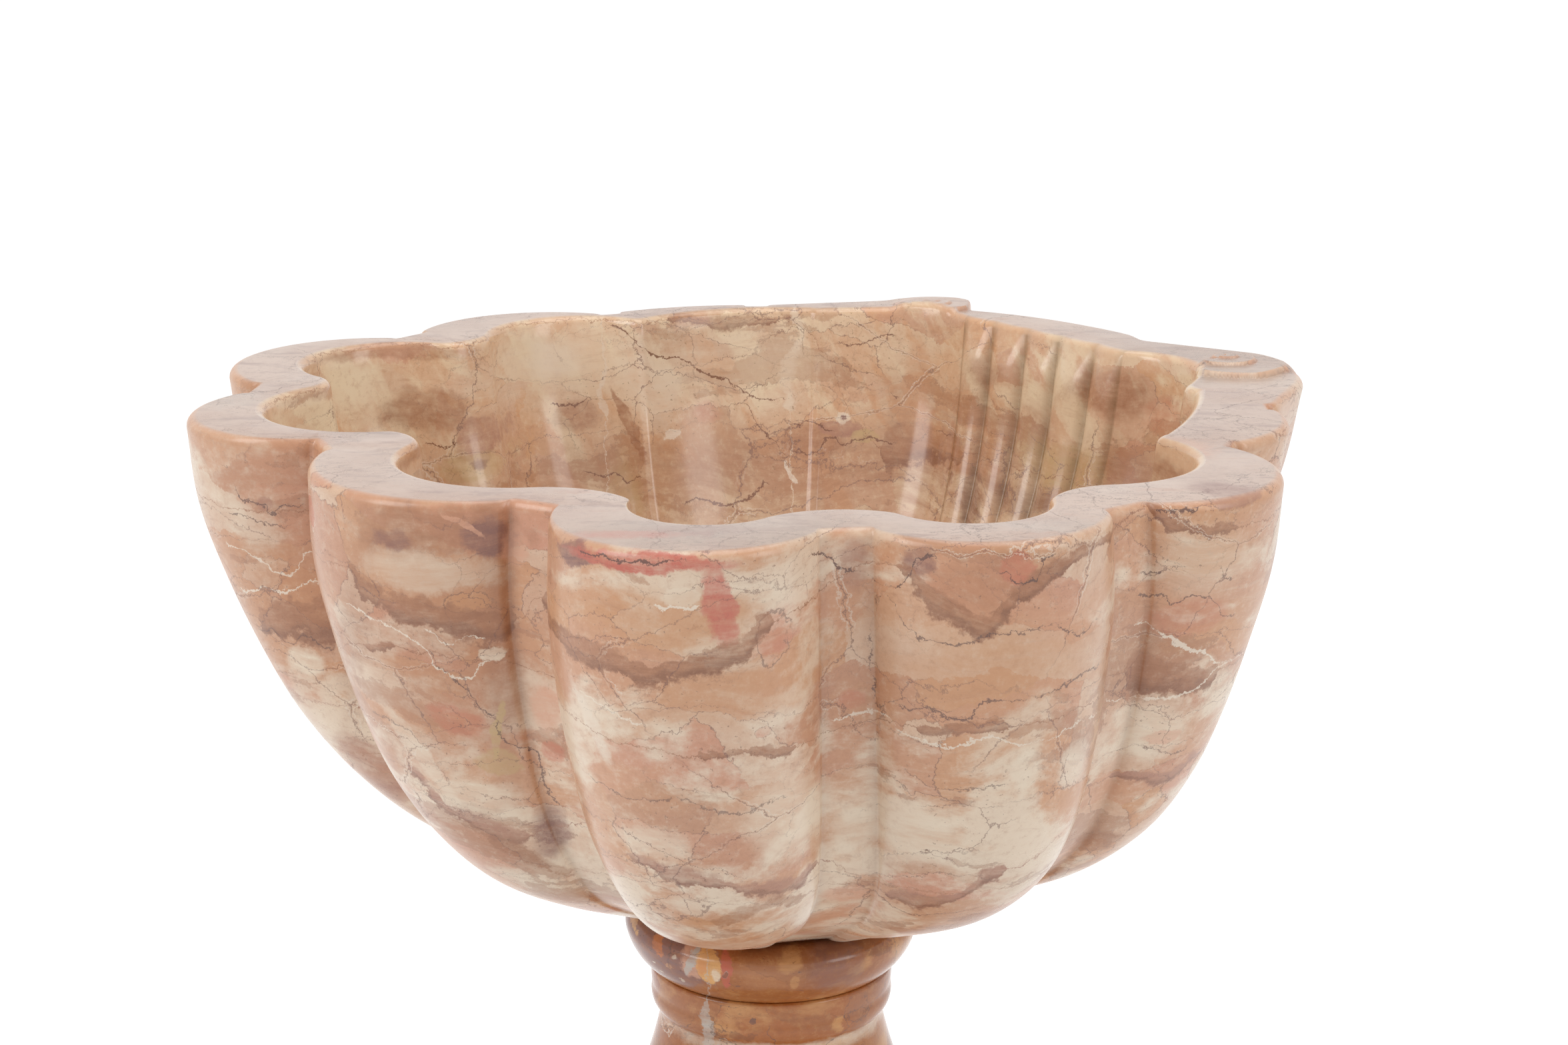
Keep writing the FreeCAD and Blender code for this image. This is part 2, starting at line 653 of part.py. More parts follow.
# Baluster shaft
shaft_height = shaft_top - shaft_bottom
cap_foot = shaft_height - size("cap_height")
throat_foot = cap_foot - size("throat_height")
foot_top = size("shaft_foot_height")
astragal_top = foot_top + size("astragal_height")
curves_height = throat_foot - astragal_top
shoulder = throat_foot - curves_height * VASE_SHOULDER_SHARE
belly = shoulder - curves_height * VASE_BELLY_SHARE
stem = belly - curves_height * STEM_SHARE
shaft_blank = turned("shaft_blank", shaft_bottom, [
    (size("pipe_bore_radius"), ZERO, None),
    (size("shaft_foot_radius"), ZERO, None),
    (size("shaft_foot_radius"), foot_top, None),
    (neck, foot_top, None),
    (neck, astragal_top, size("astragal_swell")),
    (size("stem_radius"), astragal_top, None),
    (size("stem_radius"), stem, None),
    (size("vase_belly_radius"), belly, -size("stem_hollow")),
    (size("vase_shoulder_radius"), shoulder, size("vase_belly_swell")),
    (size("throat_radius"), throat_foot, -size("vase_hollow")),
    (size("throat_radius"), cap_foot, None),
    (neck, shaft_height, size("cap_swell")),
    (size("union_bore_radius"), shaft_height, None),
    (size("union_bore_radius"), shaft_height - size("union_bore_depth"), None),
    (size("pipe_bore_radius"), shaft_height - size("union_bore_depth"), None),
])
shaft_dowel_bores = group("shaft_dowel_bores", polar(
    "shaft_top_bore", DOWELS, size("dowel_circle"), dowel_bore,
    size("stone_dowel_depth") + over, shaft_top - size("stone_dowel_depth"), 0.5)
    + polar("shaft_foot_bore", DOWELS, size("dowel_circle"), dowel_bore,
            size("base_dowel_depth") + over, shaft_bottom - over))
shaft = cut("baluster_shaft", shaft_blank, shaft_dowel_bores)

# Turned base
torus_top = size("base_torus_height")
ledge_top = torus_top + size("base_fillet_height")
scotia_top = ledge_top + size("base_scotia_height")
base_blank = turned("base_blank", base_bottom, [
    (size("pipe_bore_radius"), ZERO, None),
    (size("base_torus_radius"), ZERO, None),
    (size("base_torus_radius"), torus_top, size("base_torus_swell")),
    (size("base_ledge_radius"), torus_top, None),
    (size("base_ledge_radius"), ledge_top, None),
    (size("base_top_radius"), scotia_top, -size("base_scotia_hollow")),
    (size("base_top_radius"), size("base_height"), None),
    (size("pipe_bore_radius"), size("base_height"), None),
])
base_dowel_bores = group("base_dowel_bores", polar(
    "base_top_bore", DOWELS, size("dowel_circle"), dowel_bore,
    size("base_dowel_depth") + over, base_top - size("base_dowel_depth"))
    + polar("base_foot_bore", BASE_DOWELS, size("base_dowel_circle"), dowel_bore,
            size("base_dowel_depth") + over, base_bottom - over, 0.5))
base = cut("turned_base", base_blank, base_dowel_bores)

# Square plinth
plinth_block = box("plinth_block", size("plinth_width"), size("plinth_width"),
                   size("plinth_height"), ZERO)
doc.recompute()
plinth_dressed = doc.addObject("Part::Chamfer", "plinth_dressed")
plinth_dressed.Base = plinth_block
chamfered = []
for number, edge in enumerate(plinth_block.Shape.Edges, start=1):
    upright = abs(edge.Vertexes[0].Z - edge.Vertexes[1].Z) > size("plinth_chamfer").mm
    if upright or edge.CenterOfMass.z > size("plinth_chamfer").mm:
        chamfered.append((number, size("plinth_chamfer").mm, size("plinth_chamfer").mm))
plinth_dressed.Edges = chamfered
plinth_bore = cylinder("plinth_bore", size("pipe_bore_radius"), size("plinth_height") + over * 2,
                       z=-over)
plinth_socket = cylinder("plinth_socket", size("socket_radius"), size("socket_depth") + over,
                         z=-over)
plinth_dowel_bores = group("plinth_dowel_bores", polar(
    "plinth_dowel_bore", BASE_DOWELS, size("base_dowel_circle"), dowel_bore,
    size("base_dowel_depth") + over, plinth_top - size("base_dowel_depth"), 0.5))
plinth = cut("plinth", plinth_dressed, plinth_bore, plinth_socket, plinth_dowel_bores)


# Bedding joints between the stones
def bed(name, outer, inner, z, count, circle, turn_share):
    """A thin bedding joint with room for the dowel pins that pass through it."""
    disc = ring(f"{name}_ring", outer - size("bed_setback"), inner, size("bed_thickness"), z)
    bores = group(f"{name}_bores", polar(f"{name}_bore", count, circle, dowel_bore,
                                         size("bed_thickness") + over * 2, z - over, turn_share))
    return cut(name, disc, bores)


bowl_bed = bed("bowl_bed", neck, size("chamber_radius"), collar_top, DOWELS,
               size("dowel_circle"), 0.0)
collar_bed = bed("collar_bed", neck, size("chamber_radius"), shaft_top, DOWELS,
                 size("dowel_circle"), 0.5)
shaft_bed = bed("shaft_bed", size("shaft_foot_radius"), size("pipe_bore_radius"), base_top,
                DOWELS, size("dowel_circle"), 0.0)
base_bed = bed("base_bed", size("base_torus_radius"), size("pipe_bore_radius"), plinth_top,
               BASE_DOWELS, size("base_dowel_circle"), 0.5)

# Dowel pins
bowl_dowels = group("bowl_dowels", polar(
    "bowl_dowel", DOWELS, size("dowel_circle"), size("dowel_radius"),
    size("bowl_dowel_depth") + size("bed_thickness") + size("stone_dowel_depth"),
    collar_top - size("stone_dowel_depth")))
collar_dowels = group("collar_dowels", polar(
    "collar_dowel", DOWELS, size("dowel_circle"), size("dowel_radius"),
    size("stone_dowel_depth") * 2 + size("bed_thickness"),
    shaft_top - size("stone_dowel_depth"), 0.5))
shaft_dowels = group("shaft_dowels", polar(
    "shaft_dowel", DOWELS, size("dowel_circle"), size("dowel_radius"),
    size("base_dowel_depth") * 2 + size("bed_thickness"), base_top - size("base_dowel_depth")))
base_dowels = group("base_dowels", polar(
    "base_dowel", BASE_DOWELS, size("base_dowel_circle"), size("dowel_radius"),
    size("base_dowel_depth") * 2 + size("bed_thickness"),
    plinth_top - size("base_dowel_depth"), 0.5))

# Flanged waste: flange, conical plug seat, tail and strainer bars
flange_bottom = floor_top - size("flange_thickness")
tail_bottom = flange_bottom - size("tail_length")
waste_height = size("flange_thickness") + size("tail_length")
waste_body = turned("waste_body", tail_bottom, [
    (size("tail_bore_radius"), ZERO, None),
    (size("tail_radius"), ZERO, None),
    (size("tail_radius"), size("tail_length"), None),
    (size("flange_radius"), size("tail_length"), None),
    (size("flange_radius"), waste_height, None),
    (size("seat_mouth_radius"), waste_height, None),
    (size("seat_throat_radius"), waste_height - size("seat_depth"), None),
    (size("tail_bore_radius"), waste_height - size("seat_depth"), None),
])
strainer_z = floor_top - size("strainer_depth")
bar_length = size("tail_bore_radius") + size("tail_radius")
strainer_bars = [
    box("strainer_bar_x", bar_length, size("strainer_bar_width"),
        size("strainer_bar_height"), strainer_z),
    box("strainer_bar_y", size("strainer_bar_width"), bar_length,
        size("strainer_bar_height"), strainer_z),
]
waste_flange = fuse("waste_flange", waste_body, *strainer_bars)

flange_seal = ring("flange_seal", size("flange_radius"),
                   size("tail_radius") + size("thread_clearance"), size("seal_thickness"),
                   flange_bottom - size("seal_thickness"))

# Rings and nut that clamp the waste from below
tail_fit = size("tail_radius") + size("thread_clearance")
washer_bottom = bowl_bottom - size("under_washer_thickness")
under_washer = ring("under_washer", size("under_washer_radius"), tail_fit,
                    size("under_washer_thickness"), washer_bottom)
slip_bottom = washer_bottom - size("slip_washer_thickness")
slip_washer = ring("slip_washer", size("under_washer_radius"), tail_fit,
                   size("slip_washer_thickness"), slip_bottom)
backnut_bottom = slip_bottom - size("backnut_height")
backnut = cut("backnut",
              hexagon("backnut_blank", size("backnut_flats"), size("backnut_height"),
                      backnut_bottom),
              cylinder("backnut_thread", tail_fit, size("backnut_height") + over * 2,
                       z=backnut_bottom - over))

# Union nut and cone washer that join the tail to the pipe
union_bottom = tail_bottom + size("union_grip") - size("union_height")
union_seat = union_bottom + size("union_lip")
pipe_fit = size("pipe_radius") + size("guide_clearance")
union_nut = cut("union_nut",
                hexagon("union_blank", size("union_flats"), size("union_height"), union_bottom),
                cylinder("union_thread", tail_fit, size("union_height"), z=union_seat),
                cylinder("union_mouth", pipe_fit, size("union_height"), z=union_bottom - over))
cone_washer = ring("cone_washer", size("tail_radius"), size("pipe_radius"),
                   size("cone_washer_height"), union_seat)

# Waste pipe and its guides
pipe_bore = size("pipe_radius") - size("pipe_wall")
waste_pipe = turned("waste_pipe", ZERO, [
    (pipe_bore, ZERO, None),
    (size("spigot_radius"), ZERO, None),
    (size("spigot_radius"), size("socket_depth"), None),
    (size("pipe_radius"), size("socket_depth"), None),
    (size("pipe_radius"), tail_bottom, None),
    (pipe_bore, tail_bottom, None),
])
guide_outer = size("pipe_bore_radius") - size("guide_clearance")
pipe_guides = group("pipe_guides", [
    ring("foot_guide", guide_outer, size("pipe_radius"), size("guide_height"),
         size("socket_depth") + size("guide_height") * 0.5),
    ring("shaft_guide", guide_outer, size("pipe_radius"), size("guide_height"),
         shaft_bottom + size("shaft_foot_height")),
])

# Plug: cap with its eye, stem, seal and nut
cap_bottom = floor_top + size("plug_gap")
cap_top = cap_bottom + size("plug_cap_thickness")
plug_stem_bottom = cap_bottom - size("plug_stem_length")
eye_centre = cap_top + size("ring_wire_radius") + size("ring_clearance")
eye_bore = size("ring_wire_radius") + size("ring_clearance")
eye_half = eye_bore + size("eye_wall")
eye_post = box("eye_post", size("eye_width"), eye_half * 2, eye_centre - cap_bottom, cap_bottom)
eye_head = doc.addObject("Part::Cylinder", "eye_head")
bind(eye_head, "Radius", eye_half)
bind(eye_head, "Height", size("eye_width"))
eye_head.Placement = Placement(Vector(), Rotation(Vector(0, 1, 0), 90))
bind_place(eye_head, x=size("eye_width") * -0.5, z=eye_centre)
eye_hole = doc.addObject("Part::Cylinder", "eye_hole")
bind(eye_hole, "Radius", eye_bore)
bind(eye_hole, "Height", size("eye_width") + over * 2)
eye_hole.Placement = Placement(Vector(), Rotation(Vector(0, 1, 0), 90))
bind_place(eye_hole, x=size("eye_width") * -0.5 - over, z=eye_centre)
plug_blank = fuse("plug_blank",
                  cylinder("plug_cap", size("plug_cap_radius"), size("plug_cap_thickness"),
                           z=cap_bottom),
                  cylinder("plug_stem", size("plug_stem_radius"), size("plug_stem_length"),
                           z=plug_stem_bottom),
                  eye_post, eye_head)
plug_body = cut("plug_body", plug_blank, eye_hole)
stem_fit = size("plug_stem_radius") + size("thread_clearance")
plug_seal = ring("plug_seal", size("plug_seal_radius"), stem_fit, size("plug_seal_height"),
                 cap_bottom - size("plug_seal_height"))
plug_nut = ring("plug_nut", size("plug_nut_radius"), stem_fit, size("plug_nut_height"),
                cap_bottom - size("plug_seal_height") - size("plug_nut_height"))

# Pull ring, lying back on the cap
pull_ring = doc.addObject("Part::Torus", "pull_ring")
bind(pull_ring, "Radius1", size("ring_radius"))
bind(pull_ring, "Radius2", size("ring_wire_radius"))
bind_place(pull_ring, y=size("ring_radius"), z=eye_centre)

NODES = [
    bowl, collar, shaft, base, plinth, bowl_bed, collar_bed, shaft_bed, base_bed,
    bowl_dowels, collar_dowels, shaft_dowels, base_dowels, waste_flange, flange_seal,
    under_washer, slip_washer, backnut, union_nut, cone_washer, waste_pipe, pipe_guides,
    plug_body, plug_seal, plug_nut, pull_ring,
]

doc.recompute()
for obj in doc.Objects:
    if {"Invalid", "Error"} & set(obj.State):
        raise RuntimeError(f"{obj.Label} failed: {obj.State}")
for node in NODES:
    if node.Shape.isNull() or not node.Shape.isValid():
        raise RuntimeError(f"{node.Label} has no valid shape")

os.makedirs("parts", exist_ok=True)
for node in NODES:
    node.Label = node.Name
    node.Shape.exportStep(f"parts/{node.Label}.step")
    low, high = node.Shape.BoundBox, node.Shape.Volume
    print(f"{node.Label}: {len(node.Shape.Solids)} solids, {high / 1000:.1f} cm3, "
          f"z {low.ZMin:.1f} to {low.ZMax:.1f}")
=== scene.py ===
"""Pedestal basin: a carved and polished marble shell on a turned baluster, dressed on its frame.

Metres, +Z up. The origin is on the floor, on the pedestal's axis. The shell's hinge, with its two
volutes, is at +Y, and the front lobe faces -Y.
"""

import logging
import math
from collections.abc import Callable, Iterable, Iterator
from contextlib import contextmanager
from dataclasses import dataclass
from enum import Enum
from itertools import accumulate, pairwise

import bmesh
import bpy
from mathutils import Matrix, Vector
from mathutils.geometry import delaunay_2d_cdt


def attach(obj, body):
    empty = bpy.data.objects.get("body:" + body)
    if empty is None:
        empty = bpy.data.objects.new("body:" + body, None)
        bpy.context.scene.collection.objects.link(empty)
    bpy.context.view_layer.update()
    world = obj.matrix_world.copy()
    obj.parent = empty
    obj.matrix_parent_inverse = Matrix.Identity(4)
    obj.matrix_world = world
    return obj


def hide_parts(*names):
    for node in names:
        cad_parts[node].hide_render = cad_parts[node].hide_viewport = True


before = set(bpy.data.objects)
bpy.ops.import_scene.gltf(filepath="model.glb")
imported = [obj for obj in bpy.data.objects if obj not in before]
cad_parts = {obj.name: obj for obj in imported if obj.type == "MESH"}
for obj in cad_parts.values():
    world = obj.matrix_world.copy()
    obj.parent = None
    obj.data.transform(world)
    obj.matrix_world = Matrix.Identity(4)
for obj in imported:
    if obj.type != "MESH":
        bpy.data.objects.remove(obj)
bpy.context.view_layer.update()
log = logging.getLogger("pedestal_basin")

Point = tuple[float, float]
Bend = tuple[float, float, float]
Colour = tuple[float, float, float, float]

MM = 0.001
# How far the bowl is turned from the camera, in degrees
FACING = 45.2
WHITE = (1.0, 1.0, 1.0, 1.0)
EVEN = (1.0, 1.0, 1.0)


def screen(red: int, green: int, blue: int) -> Colour:
    """A colour as a screen shows it, in linear light.

    Args:
        red: The red step, from 0 to 255.
        green: The green step.
        blue: The blue step.

    Returns:
        The colour, without transparency.
    """
    def linear(step: int) -> float:
        """One channel in linear light."""
        share = step / 255
        return share / 12.92 if share <= 0.04045 else ((share + 0.055) / 1.055) ** 2.4
    return linear(red), linear(green), linear(blue), 1.0


def between(first: Colour, second: Colour, share: float) -> Colour:
    """A colour between two others."""
    return tuple(a + (b - a) * share for a, b in zip(first, second))


def bearing(degrees: float) -> Vector:
    """The direction of a bearing in a plane."""
    return Vector((math.cos(math.radians(degrees)), math.sin(math.radians(degrees))))


class Value:
    """A shader socket that Python's operators work on, each as a Math node."""

    def __init__(self, graph: "Graph", socket: bpy.types.NodeSocket) -> None:
        """Keep the socket and the graph it is in."""
        self.graph = graph
        self.socket = socket

    def __add__(self, other: "Value | float") -> "Value":
        """The sum."""
        return self.graph.maths("ADD", self, other)

    def __sub__(self, other: "Value | float") -> "Value":
        """The difference."""
        return self.graph.maths("SUBTRACT", self, other)

    def __mul__(self, other: "Value | float") -> "Value":
        """The product."""
        return self.graph.maths("MULTIPLY", self, other)

    def __abs__(self) -> "Value":
        """The size without its sign."""
        return self.graph.maths("ABSOLUTE", self)


class Graph:
    """The node tree of one material, or of the world."""

    def __init__(self, owner: bpy.types.Material | bpy.types.World) -> None:
        """Start with an empty tree.

        Args:
            owner: The material or the world that the tree belongs to.
        """
        owner.use_nodes = True
        self.owner = owner
        self.tree = owner.node_tree
        self.tree.nodes.clear()

    @classmethod
    def named(cls, name: str) -> "Graph":
        """The tree of a new material."""
        return cls(bpy.data.materials.new(name))

    def node(self, kind: str, settings: dict, sockets: dict,
             output: str | int | None = 0) -> Value | None:
        """Add a node.

        Args:
            kind: The node's type, without ShaderNode.
            settings: Its own settings, a ramp's stops and a curve's points among them.
            sockets: The value or the link of each input, by name or number.
            output: Which of its outputs is wanted, or None for a node that has none.

        Returns:
            The wanted output, if there is one.
        """
        made = self.tree.nodes.new(f"ShaderNode{kind}")
        for name, setting in settings.items():
            if name == "stops":
                ramp = made.color_ramp
                while len(ramp.elements) < len(setting):
                    ramp.elements.new(1.0)
                for element, (place, colour) in zip(ramp.elements, setting):
                    element.position, element.color = place, colour
            elif name == "points":
                curve = made.mapping.curves[0]
                for number in range(2, len(setting)):
                    curve.points.new(number / len(setting), 0.5)
                for point, place in zip(curve.points, setting):
                    point.location = place
                    point.handle_type = settings.get("handle", "AUTO")
                made.mapping.update()
            elif name != "handle":
                setattr(made, name, setting)
        for name, value in sockets.items():
            if isinstance(value, Value):
                self.tree.links.new(value.socket, made.inputs[name])
            else:
                made.inputs[name].default_value = value
        return None if output is None else Value(self, made.outputs[output])

    def maths(self, operation: str, *values: Value | float) -> Value:
        """A Math node on these values."""
        return self.node("Math", {"operation": operation}, dict(enumerate(values)))

    def step(self, value: Value, low: float, high: float, start: float = 0.0,
             end: float = 1.0) -> Value:
        """A smooth step from start to end while the value goes from low to high."""
        return self.node("MapRange", {"interpolation_type": "SMOOTHSTEP"},
                         {0: value, 1: low, 2: high, 3: start, 4: end})

    def mix(self, factor: Value | float, first: Value | Colour, second: Value | Colour) -> Value:
        """Two colours mixed."""
        return self.node("Mix", {"data_type": "RGBA"}, {0: factor, 6: first, 7: second}, 2)

    def scaled(self, vector: Value, scale: tuple[float, float, float] = EVEN,
               shift: tuple[float, float, float] = (0.0, 0.0, 0.0),
               turn: float = 0.0) -> Value:
        """A pattern's coordinates, scaled, moved and turned about the upright axis."""
        return self.node("Mapping", {}, {"Vector": vector, "Location": shift, "Scale": scale,
                                         "Rotation": (0.0, 0.0, turn)})

    def place(self) -> Value:
        """Where a point is on the object."""
        return self.node("TexCoord", {}, {}, "Object")

    def mark(self, name: str) -> Value:
        """A number that the mesh carries at each corner."""
        return self.node("Attribute", {"attribute_name": name}, {}, "Fac")

    def noise(self, vector: Value, scale: float, detail: float = 3.0, rough: float = 0.5,
              output: str = "Fac") -> Value:
        """Cloudy noise."""
        return self.node("TexNoise", {}, {"Vector": vector, "Scale": scale, "Detail": detail,
                                          "Roughness": rough}, output)

    def warped(self, vector: Value, noise: Value, amount: float) -> Value:
        """Coordinates pushed about by a coloured noise."""
        return self.node("VectorMath", {"operation": "MULTIPLY_ADD"},
                         {0: noise, 1: (amount,) * 3, 2: vector})

    def cells(self, vector: Value, scale: float, output: str = "Distance") -> Value:
        """A pattern of cells: the distance to their edges, or what the output says.

        Args:
            vector: The pattern's coordinates.
            scale: How many cells a metre has.
            output: Which output is wanted.

        Returns:
            The pattern.
        """
        kind = "DISTANCE_TO_EDGE" if output == "Distance" else "F1"
        return self.node("TexVoronoi", {"feature": kind}, {"Vector": vector, "Scale": scale},
                         output)

    def share(self, vector: Value, axis: tuple[float, float, float]) -> Value:
        """How far a place is along an axis."""
        return self.node("VectorMath", {"operation": "DOT_PRODUCT"}, {0: vector, 1: axis},
                         "Value")

    def seen(self) -> Value:
        """Whether the camera or a mirroring surface looks.

        Returns:
            1 for their rays, and 0 for the light's.
        """
        path = self.node("LightPath", {}, {}, "Is Camera Ray")
        return self.maths("MAXIMUM", path,
                          Value(self, path.socket.node.outputs["Is Glossy Ray"]))

    def principled(self, **sockets: Value | float | Colour) -> Value:
        """The usual shader, with its sockets by their names with underscores."""
        return self.node("BsdfPrincipled", {}, {
            name.replace("_", " "): value for name, value in sockets.items()})

    def surface(self, shader: Value) -> bpy.types.Material | bpy.types.World:
        """Send a shader to the output, and give what owns the tree.

        Args:
            shader: The shader.

        Returns:
            The finished material or world.
        """
        kind = "World" if isinstance(self.owner, bpy.types.World) else "Material"
        self.node(f"Output{kind}", {}, {"Surface": shader}, None)
        return self.owner

    def shade(self, **sockets: Value | float | Colour) -> bpy.types.Material:
        """The finished material, with the usual shader."""
        return self.surface(self.principled(**sockets))

    def bump(self, height: Value, distance: float, strength: float = 1.0) -> Value:
        """A normal bent by this height."""
        return self.node("Bump", {}, {"Height": height, "Distance": distance,
                                      "Strength": strength})


class Run(Enum):
    """The way a bed runs on the side of the stone that faces the front."""

    ACROSS = 0
    UPRIGHT = 1


@dataclass(frozen=True)
class Bed:
    """A band, a seam or a vein, in one or more runs.

    Each run's bends are places in millimetres with the bed's half width there: across, height and
    half width. Soft is the share of the half width that its edges take. A thin bed is a broken
    line, and thin is the share of the half widths that it keeps.
    """

    runs: tuple[tuple[Bend, ...], ...]
    colour: Colour
    strength: float = 0.85
    soft: float = 0.4
    run: Run = Run.ACROSS
    foot: Colour | None = None
    thin: float | None = None


@dataclass(frozen=True)
class Patch:
    """A blotch: its middle and half sizes (across, height) in millimetres, and how it looks."""

    middle: Point
    half_sizes: Point
    colour: Colour
    strength: float = 0.8
    ragged: float = 0.55
    soft: float = 0.14
    turn: float = 0.0
    ring: Colour | None = None


@dataclass(frozen=True)
class Palette:
    """The colours of one face of the stone."""

    ground: Colour
    warm: Colour
    cream: Colour
    rose: Colour
    band: Colour
    dark: Colour
    seam: Colour = screen(120, 88, 80)
    calcite: Colour = screen(226, 212, 196)


UMBER = screen(160, 110, 80)
UMBER_DARK = screen(122, 80, 60)
MAUVE = screen(172, 126, 106)
PLUM = screen(134, 94, 86)
BRICK = screen(196, 118, 92)
SALMON = screen(212, 160, 132)
ROSE = screen(194, 106, 90)
GOLD = screen(222, 168, 104)
FLAME = screen(206, 122, 62)
BLOOD = screen(190, 96, 70)
SLATE = screen(188, 178, 168)
IVORY = screen(230, 214, 192)
SPAR = screen(230, 216, 198)
INK = screen(96, 70, 64)
OLIVE = screen(196, 168, 122)
OCHRE = screen(200, 146, 104)
TAN = screen(180, 124, 90)
DUSK = screen(150, 136, 126)

OUTER_PALETTE = Palette(ground=screen(203, 158, 128), warm=screen(203, 152, 114), cream=IVORY,
                        rose=screen(203, 148, 122), band=screen(166, 118, 90),
                        dark=screen(118, 84, 68))
INNER_PALETTE = Palette(ground=screen(218, 187, 156), warm=screen(212, 164, 124),
                        cream=screen(234, 216, 184), rose=screen(208, 160, 132),
                        band=screen(174, 126, 92), dark=screen(118, 90, 56))
# The rim's flat top: pale, greyed colours that paint the reflection of the white surroundings over
# the stone's own marks
RIM_SHEEN_PALETTE = Palette(ground=screen(182, 156, 141), warm=screen(186, 148, 122),
                      cream=screen(197, 175, 161), rose=screen(182, 142, 122),
                      band=screen(152, 128, 120), dark=screen(108, 86, 78),
                      seam=screen(96, 80, 76))
PEDESTAL_PALETTE = Palette(ground=screen(162, 99, 52), warm=screen(170, 99, 46),
                           cream=screen(201, 147, 92), rose=screen(150, 82, 47),
                           band=screen(126, 74, 42), dark=screen(78, 46, 30),
                           seam=screen(84, 58, 48))

